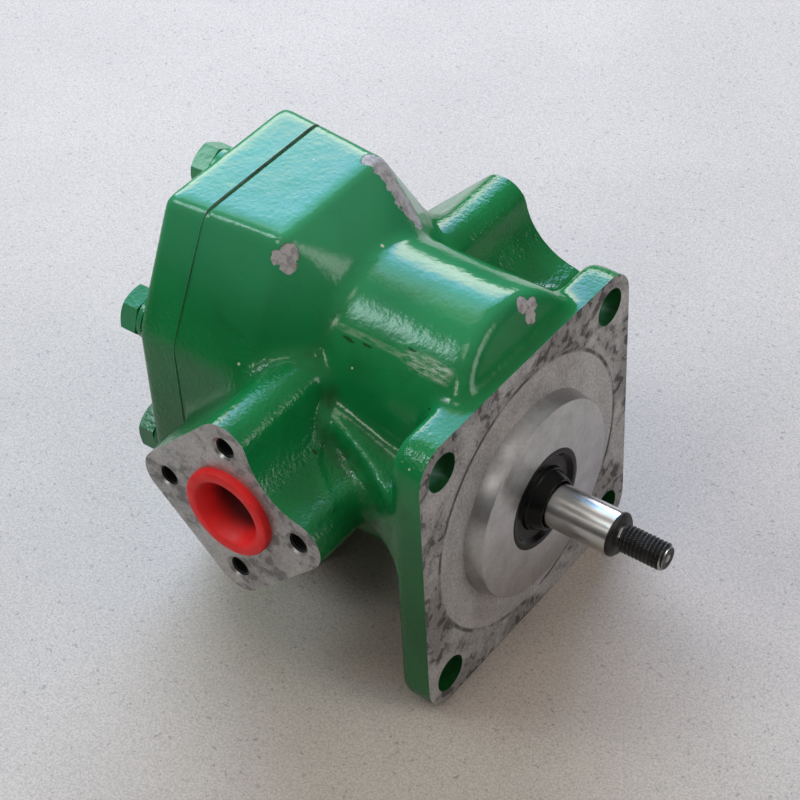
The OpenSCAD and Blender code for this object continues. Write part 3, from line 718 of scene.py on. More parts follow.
def paint_finish(look):
    """Glossy green paint over a casting, chipped and scuffed, with dirt and painted shade in the corners,
    painted shade low down, painted sheen on top, and painted highlights on the edges, in the scuffed band and
    in glints.
    """
    tree, shader, coords = new_material("chipped_paint")
    parts = axes(tree, coords)
    ridge = add_node(tree, "ShaderNodeAttribute", attribute_name="ridge").outputs["Fac"]
    low = spread(tree, parts["Z"], *in_metres(SHADE_BELOW))
    base = tinted(tree, look.paint, mottled(tree, coords, 28, 0.84, 1.12, 3, 0.55))
    # Dirt and painted shade in concave corners and creases
    base = blend(tree, spread(tree, ridge, -0.01, -0.09, 0, 0.85), base, look.paint_shade_and_dirt)
    # Worn thin paint and painted highlight on outstanding edges
    base = blend(tree, spread(tree, ridge, 0.05, 0.16, 0, 0.4), base, look.paint_worn_and_sheen)
    base = blend(tree, times(tree, stains(tree, coords, 70, 0.4, 0.1), 0.22), base, look.paint_shade_and_dirt)
    # Painted shade: darker towards the bottom
    base = blend(tree, times(tree, low, 0.6), base, look.paint_shade_and_dirt)
    # Painted sheen: paler towards the top
    base = blend(tree, spread(tree, parts["Z"], *in_metres(SHEEN_ABOVE), 0, 0.55), base, look.paint_worn_and_sheen)
    # Dusty scuffed band, which also paints the pale reflection of a light on scratched paint
    scuffs = times(tree, scuff_and_sheen_mask(tree, coords), 0.85)
    # Pale nicks, which also serve as painted glints on bumps of the paint
    scuffs = calc(tree, "MAXIMUM", scuffs, spots(tree, coords, NICKS_AND_GLINTS))
    base = blend(tree, scuffs, base, look.dust)
    gouges = spots(tree, coords, GOUGES, GOUGE_STRETCH)
    base = blend(tree, gouges, base, look.paint_shade_and_dirt)
    chips = spots(tree, coords, CHIPS)
    bare = blend(tree, stains(tree, coords, 300, 0.47), look.primer, shade(look.primer, 0.62))
    base = blend(tree, chips, base, bare)
    worn = calc(tree, "MAXIMUM", chips, scuffs)
    rough = mottled(tree, coords, 60, 0.09, 0.16, ends=(0.3, 0.75))
    rough = calc(tree, "ADD", rough, times(tree, stains(tree, coords, 24, 0.46, 0.16), 0.06))
    rough = calc(tree, "ADD", rough, times(tree, low, 0.08))
    rough = calc(tree, "MAXIMUM", rough, times(tree, worn, 0.62))
    feed(tree, shader, Base_Color=base, Roughness=rough, Specular_IOR_Level=0.3)
    pebbled = spread(tree, calc(tree, "ABSOLUTE", parts["Y"]), *in_metres(PEBBLED_BEYOND), 0.5, 3.6)
    peel = use_group(tree, "peel", {"Vector": coords, "Fine": 560, "Rough": pebbled})
    height = calc(tree, "SUBTRACT", times(tree, peel, 0.2), calc(tree, "MAXIMUM", chips, gouges))
    bump(tree, shader, height, look.peel, 0.35 * MM)


def iron_finish(look, name, tint, pitted, clean, rings=False, line_r=0.0, line_w=0.0):
    """Machined grey iron with grain, stains and rust, dirtier outside a turned line about the shaft."""
    tree, shader, coords = new_material(name)
    patches = stains(tree, coords, 38, 0.53, 0.1)
    pits = times(tree, stains(tree, coords, 190, 0.47, 0.05), spread(tree, patches, 0.1, 0.9, 0.1, 1.0))
    pits = times(tree, pits, pitted)
    if line_r:
        radius = shaft_distance(tree, coords)
        outer = spread(tree, radius, line_r - MM, line_r + MM, 0.1, 1.0)
        patches = times(tree, patches, outer)
        away = calc(tree, "ABSOLUTE", calc(tree, "SUBTRACT", radius, line_r + line_w / 2))
        line = spread(tree, away, line_w * 1.6, line_w * 0.5)
        line = times(tree, line, mottled(tree, coords, 45, 0, 1, 3, ends=(0.42, 0.58)))
        pits = calc(tree, "MAXIMUM", times(tree, pits, outer), line)
    speckle = mottled(tree, coords, 900, 0.74 + 0.2 * clean, 1.2 - 0.14 * clean, 2, 0.7, (0.28, 0.72))
    cloud = mottled(tree, coords, 120, 0.84, 1.1, 4, 0.65, (0.25, 0.75))
    base = tinted(tree, tint, times(tree, speckle, cloud))
    base = blend(tree, times(tree, stains(tree, coords, 30, 0.42, 0.14), 0.25 * (1 - clean)), base, look.rust)
    base = blend(tree, times(tree, patches, 0.45 * (1 - clean)), base, look.grime)
    base = blend(tree, times(tree, pits, 0.9), base, look.grime)
    metal = spread(tree, pits, 0, 1, 0.5 + 0.45 * clean, 0.05)
    rough = spread(tree, pits, 0, 1, 0.5 - 0.2 * clean, 0.75)
    feed(tree, shader, Base_Color=base, Metallic=metal, Roughness=rough)
    if rings:
        marks = use_group(tree, "turned_rings", {"Vector": coords})
    else:
        marks = noise(tree, coords, 700, 3, 0.6)
    bump(tree, shader, calc(tree, "SUBTRACT", marks, times(tree, pits, 2.0)), 0.24, 0.15 * MM)


def steel_finish(name, tint, rough_low, rough_high):
    """Ground or plain steel with fine marks round its axis."""
    tree, shader, coords = new_material(name)
    base = tinted(tree, tint, mottled(tree, coords, 160, 0.9, 1.06, 3))
    rough = mottled(tree, coords, 90, rough_low, rough_high)
    feed(tree, shader, Base_Color=base, Metallic=1.0, Roughness=rough)
    bump(tree, shader, noise(tree, stretched(tree, coords, (30, 1, 1)), 220), 0.12, 0.03 * MM)


def dark_finish(name, tint, rough_low, rough_high, dust, metal=0.0, shine=0.35):
    """Rubber, blackened steel and dark bores, with a dusty, uneven surface; the dark bores and the black
    screw holes are painted shade.
    """
    tree, shader, coords = new_material(name)
    dusty = times(tree, stains(tree, coords, 160, 0.42, 0.12), dust)
    base = blend(tree, dusty, tint, tuple(part * 3.2 + 0.02 for part in tint))
    rough = mottled(tree, coords, 240, rough_low, rough_high)
    feed(tree, shader, Base_Color=base, Roughness=rough, Metallic=metal, Specular_IOR_Level=shine)
    bump(tree, shader, noise(tree, coords, 900, 3, 0.6), 0.12, 0.1 * MM)


def plastic_finish(look):
    """Waxy red plastic with faint scuffs, and painted shade down in the plug."""
    tree, shader, coords = new_material("plug_plastic")
    base = tinted(tree, look.plastic, mottled(tree, coords, 80, 0.86, 1.05, 3))
    # Painted shade deep in the plug's hole
    deep = spread(tree, axes(tree, coords)["Y"], *(PLUG_LOW.y + depth for depth in in_metres(PLUG_SHADE)))
    base = blend(tree, times(tree, deep, 0.95), base, shade(look.plastic, 0.08))
    rough = mottled(tree, coords, 220, 0.42, 0.58)
    feed(tree, shader, Base_Color=base, Roughness=rough, Specular_IOR_Level=0.3)
    bump(tree, shader, noise(tree, coords, 600), 0.08, 0.1 * MM)


def floor_finish(look):
    """Pale floor with fine grain and dark pits."""
    tree, shader, coords = new_material("pale_floor")
    cloud = mottled(tree, coords, 9, 0.95, 1.03)
    grain = mottled(tree, coords, 1300, 0.8, 1.1, 2)
    base = tinted(tree, look.floor, times(tree, cloud, grain))
    pits = times(tree, stains(tree, coords, 520, 0.364, 0.025), 0.6)
    base = blend(tree, pits, base, shade(look.floor, 0.4))
    feed(tree, shader, Base_Color=base, Roughness=0.55)


class PUMP_OT_finishes(bpy.types.Operator):
    """Builds the paint, metals, rubber and plastic"""

    bl_idname = "gear_pump.finishes"
    bl_label = "Finishes"

    def execute(self, context):
        look, casting = context.scene.pump_look, context.scene.pump_casting
        make_groups()
        paint_finish(look)
        iron_finish(look, "turned_iron", look.iron, 1.0, 0.0, True, casting.scribe_r, casting.scribe_w)
        iron_finish(look, "pilot_iron", look.bright_iron, 0.1, 1.0, True)
        iron_finish(look, "milled_iron", look.iron, 0.55, 0.5)
        steel_finish("polished_steel", look.steel, 0.17, 0.25)
        steel_finish("dull_steel", shade(look.steel, 0.7), 0.25, 0.42)
        steel_finish("block_alloy", look.alloy, 0.3, 0.45)
        steel_finish("bush_bronze", look.bronze, 0.28, 0.42)
        dark_finish("seal_rubber", look.rubber, 0.16, 0.26, 0.04, shine=0.14)
        # Dark paint for the mounting bores: painted shade in the holes
        dark_finish("dirty_bore", look.paint_shade_and_dirt, 0.3, 0.5, 0.3)
        # Blackened steel for the thread, also black in the port screw holes as painted shade
        dark_finish("black_steel", look.black_steel, 0.28, 0.5, 0.25, 0.6)
        plastic_finish(look)
        floor_finish(look)
        return {"FINISHED"}


# Casting

# Extra metal on the rough body and cover, cut off by machining
STOCK = 4 * MM
COVER_STOCK = 6 * MM
# Half sides of cutters that clear the whole pump, and a small piece of it
FAR = 0.3
CLEAR = 0.1
# Distance within which a point counts as lying in a face
NEAR = 0.1 * MM
# Height of the land at the cover joint, and depth of the pilot's root in the flange
LAND = 3 * MM
PILOT_ROOT = 2 * MM
# Depth to which a thread's ridge stands in its core, so that the two join
THREAD_FOOT = 0.2 * MM
# How far the middle of a rounding is set in, as a share of the rounding
ROUNDING_MIDDLE = 0.3
# How far the box's top corners move in, as a share of the inset of its faces
CORNER_SHARE = 0.55
# Angle from which an edge of a web is rounded, in radians, and how far out it has to lie, as a share of
# the webs' half width
WEB_SHARP = 1.2
WEB_OUTSIDE = 0.98
# Directions of the port screws from the port, in X and Z
CROSS = ((1, 0), (0, 1), (-1, 0), (0, -1))
# The line of flash on the near neck, in millimetres
FLASH_LINE = (
    (-61.0, -33.5, 58.4), (-57.0, -35.0, 53.0), (-53.4, -38.6, 47.4), (-50.6, -44.0, 42.0),
    (-47.8, -50.0, 37.4), (-46.0, -55.0, 34.2), (-41.0, -58.5, 31.6), (-36.0, -62.0, 29.4),
    (-31.4, -65.5, 27.9),
)


def box_outline(s, x, inward=0.0, down=0.0):
    """The eight corners of the box's outline, seen along the shaft, set in all round and down at the top."""
    top, base = COVER_HIGH.z - inward - down, COVER_LOW.z + inward
    side = COVER_HIGH.y - inward
    half = s.box_top_half - inward * CORNER_SHARE + down * CORNER_SHARE
    right = [(half, base), (side, -s.box_knee), (side, s.box_shoulder), (half, top)]
    return [Vector((x, y, z)) for y, z in right] + [Vector((x, -y, z)) for y, z in reversed(right)]


def box_solid(bm, s, x0, x1, inward=0.0, down=0.0):
    """The box with its long edges rounded and its top wider towards the back."""
    verts = drawn_out(bm, box_outline(s, x0, inward, down), X_AXIS * (x1 - x0))
    for vert in verts:
        if vert.co.z > s.box_shoulder + MM:
            vert.co.y += math.copysign(s.box_draft * (vert.co.x + s.box_front), vert.co.y)
    round_edges(bm, edges_along(verts, 0), s.box_round)


def seam_land(s, x0, x1):
    """The land at the cover joint, set in under the paint and deeper at the top."""
    bm = bmesh.new()
    box_solid(bm, s, x0, x1, s.seam_fill, s.seam_groove)
    return scratch(bm, "land", "chipped_paint")


def flange_solid(bm, s):
    """Square flange with round corners and soft back edges."""
    half = s.flange_half
    verts = block(bm, (-s.flange_thick, -half, -half), (STOCK, half, half))
    corners = round_edges(bm, edges_along(verts, 0), s.flange_corner, 10)
    back = {edge for face in corners for vert in face.verts for edge in vert.link_edges
            if max(v.co.x for v in edge.verts) < NEAR - s.flange_thick}
    round_edges(bm, back, s.flange_round)


def hump_solid(bm, s):
    """Round case over the upper gear, cut off by the slope down to the flange."""
    top = Vector((-s.slope_back, 0, DRIVEN_Z + s.case_r))
    foot = Vector((-s.slope_foot, 0, s.flange_half))
    fall = foot - top
    part = bmesh.new()
    bar(part, s.case_r, (-s.box_front, 0, DRIVEN_Z), (0, 0, DRIVEN_Z), 96)
    made = bmesh.ops.bisect_plane(part, geom=part.verts[:] + part.edges[:] + part.faces[:], plane_co=top,
                                  plane_no=(-fall.z, 0, fall.x), clear_outer=True)
    rim = [item for item in made["geom_cut"] if isinstance(item, bmesh.types.BMEdge)]
    bmesh.ops.edgeloop_fill(part, edges=rim)
    round_edges(part, rim, s.slope_round)
    bmesh.ops.recalc_face_normals(part, faces=part.faces)
    move_into(bm, scratch(part, "hump"))


def slope_solid(bm, s):
    """Slope from the box's outline in to the round case, as one convex form."""
    part = bmesh.new()
    for point in box_outline(s, -s.box_front - s.box_round) + box_outline(s, -s.box_front):
        part.verts.new(point)
    for z in (0, DRIVEN_Z):
        place = Matrix.Translation((s.box_blend - s.box_front, 0, z)) @ Matrix.Rotation(math.pi / 2, 4, "Y")
        bmesh.ops.create_circle(part, segments=64, radius=s.case_r - MM, matrix=place)
    made = bmesh.ops.convex_hull(part, input=part.verts)
    bmesh.ops.delete(part, geom=list(set(made["geom_interior"] + made["geom_unused"])), context="VERTS")
    bmesh.ops.recalc_face_normals(part, faces=part.faces)
    move_into(bm, scratch(part, "slope"))


def neck_solid(bm, s, h, reach):
    """Port necks: four lobes with one scooped side, drawn out through the body from side to side."""
    corner = h.port_at + math.sqrt(2) * s.lobe_r
    outline = [Vector((PORT_X + corner * x, -reach, PORT_Z + corner * z)) for x, z in CROSS]
    part = bmesh.new()
    verts = drawn_out(part, outline, Y_AXIS * 2 * reach)
    round_edges(part, edges_along(verts, 1), s.lobe_r, 10)
    neck = scratch(part, "neck")
    inner = s.scoop_in - s.lobe_r
    away = (h.port_at ** 2 - inner ** 2) / (math.sqrt(2) * h.port_at - 2 * inner)
    middle = Vector((PORT_X + away * math.sqrt(0.5), 0, PORT_Z + away * math.sqrt(0.5)))
    run = Y_AXIS * 2 * reach
    carve(neck, bars_tool("scoop", "chipped_paint", [(away - s.scoop_in, middle - run, middle + run)], 96))
    move_into(bm, neck)


def trough_tool(s, middle, side):
    """Cutter for the trough along the top of one web, which follows the flare and falls to the flange."""
    cut = bmesh.new()
    start = middle - Y_AXIS * side * (s.web_flare_r + s.trough_in)
    place = Matrix.Translation(start) @ Matrix.Rotation(math.pi / 2, 4, "Y")
    bmesh.ops.create_circle(cut, cap_ends=True, segments=64, radius=s.trough_r, matrix=place)
    lead = Matrix.Rotation(-side * s.trough_turn / 3, 3, "Z")
    bmesh.ops.rotate(cut, cent=middle, matrix=lead, verts=cut.verts)
    bmesh.ops.spin(cut, geom=cut.verts[:] + cut.edges[:] + cut.faces[:], cent=middle, axis=Z_AXIS,
                   angle=side * s.trough_turn * 4 / 3, steps=48)
    fall = Matrix.Identity(4)
    fall[2][0] = -s.trough_fall
    fall[2][3] = s.trough_fall * middle.x
    bmesh.ops.transform(cut, matrix=fall, verts=cut.verts)
    bmesh.ops.recalc_face_normals(cut, faces=cut.faces)
    return scratch(cut, "trough")


def web_solid(bm, s):
    """Webs from the necks to the flange, flaring out to the flange's sides."""
    flare_x = -s.flange_thick - math.sqrt(2 * s.web_flare * s.web_flare_r - s.web_flare ** 2)
    tip = s.web_root + s.web_flare
    middles = {side: Vector((flare_x, side * (s.web_root + s.web_flare_r), 0)) for side in (-1, 1)}
    part = bmesh.new()
    block(part, (PORT_X, -tip, s.web_low), (-s.flange_thick / 2, tip, s.web_top))
    web = scratch(part, "web")
    for side, middle in middles.items():
        flare = (s.web_flare_r, middle - Z_AXIS * CLEAR, middle + Z_AXIS * CLEAR)
        carve(web, bars_tool("flare", "chipped_paint", [flare], 160))
        near, far = sorted((side * s.web_root, side * (tip + MM)))
        carve(web, block_tool("root", "chipped_paint", (PORT_X - MM, near, -CLEAR), (flare_x, far, CLEAR)))
    part = bmesh.new()
    part.from_mesh(web.data)
    outside = s.web_root * WEB_OUTSIDE
    sharp = [e for e in part.edges if len(e.link_faces) == 2 and e.calc_face_angle() > WEB_SHARP
             and abs(e.verts[0].co.z - e.verts[1].co.z) < NEAR
             and min(abs(v.co.y) for v in e.verts) > outside]
    round_edges(part, sharp, s.web_round)
    part.to_mesh(web.data)
    part.free()
    for side, middle in middles.items():
        carve(web, trough_tool(s, middle + Z_AXIS * s.trough_z, side))
    move_into(bm, web)


def cast(obj, s):
    """Turns joined rough solids into one cast skin with filleted corners."""
    def skin():
        step = obj.modifiers.new("skin", "REMESH")
        step.mode = "VOXEL"
        step.voxel_size = s.voxel

    skin()
    for strength in (s.fillet, -s.fillet):
        step = obj.modifiers.new("fillet", "DISPLACE")
        step.strength = strength
        step.mid_level = 0
        skin()
    soft = obj.modifiers.new("soft", "SMOOTH")
    soft.factor = 0.5
    soft.iterations = s.smoothing
    applied(obj)
    mark_edges(obj)


def raise_flash(obj, height, reach):
    """Raises the thin line of flash where the mould's halves met, on both necks."""
    paths = [[Vector((x, side * y, z)) * MM for x, y, z in FLASH_LINE] for side in (1, -1)]
    pieces = [pair for path in paths for pair in zip(path, path[1:])]
    bm = bmesh.new()
    bm.from_mesh(obj.data)
    bm.normal_update()
    for vert in bm.verts:
        near = reach
        for start, end in pieces:
            point, along = geometry.intersect_point_line(vert.co, start, end)
            if 0 <= along <= 1:
                near = min(near, (vert.co - point).length)
        vert.co += vert.normal * height * (1 - near / reach)
    bm.to_mesh(obj.data)
    bm.free()


def rough_body(s, h, reach):
    """The body as it comes from the mould and is painted, before machining."""
    bm = bmesh.new()
    flange_solid(bm, s)
    bar(bm, s.case_r, (-s.box_front, 0, 0), (-s.slope_foot, 0, 0), 96)
    block(bm, (-s.box_front, -s.case_waist, 0), (-s.slope_foot, s.case_waist, DRIVEN_Z))
    box_solid(bm, s, SEAM_X - STOCK, -s.box_front)
    hump_solid(bm, s)
    slope_solid(bm, s)
    neck_solid(bm, s, h, reach + STOCK)
    web_solid(bm, s)
    body = scratch(bm, "pump_casting", "chipped_paint")
    cast(body, s)
    raise_flash(body, s.flash, s.flash_reach)
    refinish(body.data, "chipped_paint")
    return body


def machine_faces(body, s, reach):
    """Cuts the mounting face, the port faces and the cover joint, and leaves a land at the joint."""
    face = block_tool("face", "turned_iron", (SEAM_X + s.seam_half, -FAR, -FAR), (0, FAR, FAR))
    carve(body, face, "INTERSECT")
    carve(body, block_tool("ports", "milled_iron", (-FAR, -reach, -FAR), (FAR, reach, FAR)), "INTERSECT")
    carve(body, seam_land(s, SEAM_X, SEAM_X + LAND), "UNION")


def turn_pilot(body, s):
    """Adds the pilot with its sloped wall, and scribes the thin line around it."""
    tall, edge = BODY_HIGH.x, s.pilot_round
    rim = s.pilot_r - s.pilot_slope * (tall - edge)
    middle = edge * ROUNDING_MIDDLE
    profile = ((-PILOT_ROOT, 0), (-PILOT_ROOT, s.pilot_r), (0, s.pilot_r), (tall - edge, rim),
               (tall - middle, rim - middle), (tall, rim - edge), (tall, 0))
    carve(body, turned_tool("pilot", "pilot_iron", profile, 160), "UNION")
    deep, inner, outer = s.scribe_depth, s.scribe_r, s.scribe_r + s.scribe_w
    profile = ((-deep, inner), (MM, inner - MM), (MM, outer + MM), (-deep, outer))
    carve(body, turned_tool("scribe", "turned_iron", profile, 192))


def bore_chamber(body, s):
    """Bores the gear chamber, the shaft hole and the seat of the shaft seal."""
    for z in (0, DRIVEN_Z):
        hole = (BLOCK_HIGH.y + s.chamber_play, (SEAM_X - MM, 0, z), (BLOCK_HIGH.x, 0, z))
        carve(body, bars_tool("chamber", "milled_iron", [hole], 96))
    inner, outer = BLOCK_HIGH.x - MM, BODY_HIGH.x + MM
    profile = ((inner, 0), (inner, s.shaft_hole_r), (SEAL_LOW.x, s.shaft_hole_r), (SEAL_LOW.x, SEAL_HIGH.y),
               (outer, SEAL_HIGH.y), (outer, 0))
    carve(body, turned_tool("seal_bore", "milled_iron", profile))


def bore_ports(body, s, reach):
    """Bores both ports and their passages in to the gears."""
    deep = s.port_depth
    profile = ((MM, 0), (MM, s.port_r + s.port_round + MM), (-s.port_round, s.port_r), (-deep, s.port_r),
               (-deep, s.passage_r), (-reach, s.passage_r), (-reach, 0))
    for side in (-1, 1):
        place = (PORT_X, side * reach, PORT_Z)
        carve(body, turned_tool("port", "milled_iron", profile, origin=place, axis=Y_AXIS * side))


def tapped_hole(h):
    """Cutter for one threaded port hole, pointing down from the origin along -Z."""
    deep = h.tap_depth
    profile = ((MM, 0), (MM, h.tap_r), (-deep, h.tap_r), (-deep - h.tap_r / 2, 0))
    # The hole's wall and thread are black as painted shade inside the hole.
    hole = turned_tool("tap", "black_steel", profile, 48, axis=Z_AXIS)
    lead = 2 * h.tap_pitch
    bm = bmesh.new()
    screw(bm, (0, 0, lead - deep), Z_AXIS, h.tap_r - THREAD_FOOT, h.tap_r + h.tap_cut, h.tap_pitch,
          deep - lead, 28)
    carve(hole, scratch(bm, "ridge", "black_steel"), "UNION")
    foot = h.tap_bevel * h.tap_bevel_run
    profile = ((MM, 0), (MM, h.tap_r + h.tap_bevel + MM), (-foot, h.tap_r + h.tap_bevel - foot), (-foot, 0))
    carve(hole, turned_tool("bevel", "dull_steel", profile, 48, axis=Z_AXIS), "UNION")
    return hole


def tap_ports(body, h, reach):
    """Cuts the threaded screw holes around both ports."""
    tap = tapped_hole(h)
    places = [Matrix.Translation((PORT_X + x * h.port_at, side * reach, PORT_Z + z * h.port_at))
              @ Matrix.Rotation(-side * math.pi / 2, 4, "X") for side in (-1, 1) for x, z in CROSS]
    bm = bmesh.new()
    add_copies(bm, tap.data, places)
    carve(body, scratch(bm, "taps", "black_steel", "dull_steel"))
    drop(tap)


def bolt_places(h):
    """Places of the cover bolts in Y and Z."""
    side = COVER_HIGH.y - h.bolt_inset
    ends = [(0, COVER_HIGH.z - h.bolt_inset), (0, COVER_LOW.z + h.bolt_inset)]
    return ends + [(y, z) for y in (-side, side) for z in (h.bolt_upper_z, -h.bolt_lower_z)]


def dowel_places(h):
    """Places of the dowel pins in Y and Z."""
    return [(side * (DOWEL_HIGH.y - h.dowel_r), PORT_Z) for side in (-1, 1)]


def joint_holes(h, bolt_r, bolt_ends, dowel_ends):
    """Cutter for the holes of the bolts and dowels across the cover joint, between ends in X."""
    holes = [(bolt_r, *((x, y, z) for x in bolt_ends)) for y, z in bolt_places(h)]
    holes += [(h.dowel_r, *((x, y, z) for x in dowel_ends)) for y, z in dowel_places(h)]
    return bars_tool("joint_holes", "milled_iron", holes, 32)


def drill_mounts(body, s):
    """Drills the mounting holes and sinks the nut seats behind them."""
    seat = s.seat_sink - s.flange_thick
    places = [(y, z) for y in (-s.mount_at, s.mount_at) for z in (-s.mount_at, s.mount_at)]
    seats = [(s.seat_r, (-s.flange_thick - MM, y, z), (seat, y, z)) for y, z in places]
    bores = [(s.mount_r, (seat - MM, y, z), (MM, y, z)) for y, z in places]
    carve(body, bars_tool("seats", "chipped_paint", seats))
    # The bores get dark paint as painted shade inside the holes.
    carve(body, bars_tool("bores", "dirty_bore", bores))


class PUMP_OT_casting(bpy.types.Operator):
    """Builds the painted cast body with its machined faces, bores and threaded holes"""

    bl_idname = "gear_pump.casting"
    bl_label = "Cast body"

    def execute(self, context):
        s, h = context.scene.pump_casting, context.scene.pump_hardware
        reach = BODY_HIGH.y
        body = rough_body(s, h, reach)
        machine_faces(body, s, reach)
        turn_pilot(body, s)
        bore_chamber(body, s)
        bore_ports(body, s, reach)
        tap_ports(body, h, reach)
        drill_mounts(body, s)
        ends = (SEAM_X - MM, SEAM_X + s.bolt_bite + MM)
        carve(body, joint_holes(h, h.bolt_r, ends, (SEAM_X - MM, DOWEL_HIGH.x + MM)))
        finish_piece(body, "pump_casting", "housing", ["pump_body"])
        return {"FINISHED"}


class PUMP_OT_cover(bpy.types.Operator):
    """Builds the painted rear cover"""

    bl_idname = "gear_pump.cover"
    bl_label = "Rear cover"

    def execute(self, context):
        s, h = context.scene.pump_casting, context.scene.pump_hardware
        bm = bmesh.new()
        box_solid(bm, s, COVER_LOW.x, SEAM_X + COVER_STOCK)
        rear = [e for e in bm.edges if max(v.co.x for v in e.verts) < COVER_LOW.x + NEAR]
        round_edges(bm, rear, s.box_round)
        cover = scratch(bm, "cover", "chipped_paint")
        cast(cover, s)
        refinish(cover.data, "chipped_paint")
        joint = block_tool("joint", "milled_iron", (-FAR, -FAR, -FAR), (SEAM_X - s.seam_half, FAR, FAR))
        carve(cover, joint, "INTERSECT")
        carve(cover, seam_land(s, SEAM_X - LAND, SEAM_X), "UNION")
        ends = (COVER_LOW.x - MM, SEAM_X + MM)
        carve(cover, joint_holes(h, h.bolt_r + s.bolt_hole_play, ends, (DOWEL_LOW.x - MM, SEAM_X + MM)))
        finish_piece(cover, "rear_cover_casting", "housing", ["rear_cover"])
        return {"FINISHED"}


# Hardware

HEAD_CHAMFER = math.radians(30)
# Turn from one bolt to the next, in radians, so that the heads don't all stand alike
BOLT_TURN = 0.37


class PUMP_OT_bolts(bpy.types.Operator):
    """Builds the six cover bolts with chamfered hexagon heads, and their washers"""

    bl_idname = "gear_pump.bolts"
    bl_label = "Cover bolts and washers"

    def execute(self, context):
        h = context.scene.pump_hardware
        head_r = h.bolt_head / math.sqrt(3)
        flat_r = h.bolt_head / 2 - h.bolt_head_land
        rear, under, tip = BOLT_LOW.x, WASHER_LOW.x, BOLT_HIGH.x
        bolt = bars_tool("bolt", "chipped_paint", [(head_r, (rear, 0, 0), (under, 0, 0))], 6)
        slant = (head_r - flat_r) * math.tan(HEAD_CHAMFER)
        profile = ((rear, 0), (rear, flat_r), (rear + slant, head_r), (under, head_r), (under, 0))
        carve(bolt, turned_tool("chamfer", "chipped_paint", profile), "INTERSECT")
        profile = ((under - MM, 0), (under - MM, h.bolt_r), (tip - MM, h.bolt_r), (tip, h.bolt_r - MM),
                   (tip, 0))
        carve(bolt, turned_tool("shank", "dull_steel", profile, 48), "UNION")
        hole_r = h.bolt_r + h.washer_play
        profile = ((under, hole_r), (WASHER_HIGH.x, hole_r), (WASHER_HIGH.x, h.washer_r),
                   (under + h.washer_round, h.washer_r), (under, h.washer_r - h.washer_round))
        washer = turned_tool("washer", "chipped_paint", profile, 64)
        places = [Matrix.Translation((0, y, z)) @ Matrix.Rotation(BOLT_TURN * index, 4, "X")
                  for index, (y, z) in enumerate(bolt_places(h))]
        for piece, name, node in ((bolt, "cover_bolt_set", "cover_bolts"),
                                  (washer, "cover_washer_set", "cover_washers")):
            bm = bmesh.new()
            add_copies(bm, piece.data, places)
            bm.to_mesh(piece.data)
            bm.free()
            mark_edges(piece)
            finish_piece(piece, name, "housing", [node], 25)
        return {"FINISHED"}


class PUMP_OT_shaft(bpy.types.Operator):
    """Builds the ground drive shaft with its blackened thread"""

    bl_idname = "gear_pump.shaft"
    bl_label = "Drive shaft"

    def execute(self, context):
        h = context.scene.pump_hardware
        tip = SHAFT_HIGH.x
        root = tip - h.stud_len
        start = SEAL_HIGH.x + h.ground_from
        black = root - h.black_run
        bm = bmesh.new()
        bm.from_mesh(frame["nodes"]["drive_shaft"].data)
        bmesh.ops.remove_doubles(bm, verts=bm.verts, dist=NODE_GAP)
        shaft = scratch(bm, "shaft")
        refinish(shaft.data, "polished_steel")
        carve(shaft, block_tool("trim", "black_steel", (start, -CLEAR, -CLEAR), (CLEAR, CLEAR, CLEAR)))
        stud = self.stud(h, root, tip)
        edge = h.stud_bevel
        profile = ((start, 0), (start, h.shaft_r), (start + MM, h.shaft_r), (black, h.shaft_r),
                   (root - edge, h.shaft_r), (root, h.shaft_r - edge), (root, 0))
        bm = bmesh.new()
        turned(bm, profile, (0, 0, 0), X_AXIS, 96)
        for face in bm.faces:
            face.material_index = int(face.calc_center_median().x > black)
        carve(stud, scratch(bm, "ground", "polished_steel", "black_steel"), "UNION")
        carve(shaft, stud, "UNION")
        finish_piece(shaft, "drive_shaft_threaded", "drive_rotor", ["drive_shaft"], 32)
        return {"FINISHED"}

    def stud(self, h, root, tip):
        """The threaded end, with a run-out at its root and a dimple in its tip."""
        back, edge = root - MM, h.stud_bevel
        core_r = h.stud_r - h.stud_cut
        profile = ((back, 0), (back, core_r), (tip, core_r), (tip, 0))
        stud = turned_tool("stud", "black_steel", profile, 64)
        bm = bmesh.new()
        screw(bm, (root - 2 * h.stud_pitch, 0, 0), X_AXIS, core_r - THREAD_FOOT, h.stud_r, h.stud_pitch,
              h.stud_len + 4 * h.stud_pitch, 40)
        carve(stud, scratch(bm, "ridge", "black_steel"), "UNION")
        profile = ((back, 0), (back, core_r), (root + MM, core_r), (root + h.stud_runout, h.stud_r),
                   (tip - edge, h.stud_r), (tip, h.stud_r - edge), (tip, h.dimple_r),
                   (tip - h.dimple_depth, 0))
        carve(stud, turned_tool("envelope", "dull_steel", profile, 64), "INTERSECT")
        return stud


class PUMP_OT_seal(bpy.types.Operator):
    """Builds the rubber shaft seal with its soft rims"""

    bl_idname = "gear_pump.seal"
    bl_label = "Shaft seal"

    def execute(self, context):
        h = context.scene.pump_hardware
        back, face, out = SEAL_LOW.x, SEAL_HIGH.x, SEAL_HIGH.y
        lip, wall, soft = h.seal_lip, h.seal_wall, h.seal_soft
        collar = lip + h.seal_collar
        rim = out - h.seal_rim
        web = face - h.seal_dish
        inside = web - wall
        end = face + h.seal_out
        land = back + h.seal_land
        profile = ((back, out), (face, out), (face, rim), (web, rim - h.seal_dish), (web, collar),
                   (face - soft / 4, collar - soft), (face, collar - 2 * soft), (end, lip + 2 * soft),
                   (end, lip), (land, lip), (land, lip + wall / 2), (inside, lip + wall / 2),
                   (inside, out - wall), (back, out - wall))
        seal = turned_tool("seal", "seal_rubber", soft_profile(profile, h.seal_round), 128)
        finish_piece(seal, "shaft_seal_moulded", "housing", ["shaft_seal"], 40)
        return {"FINISHED"}


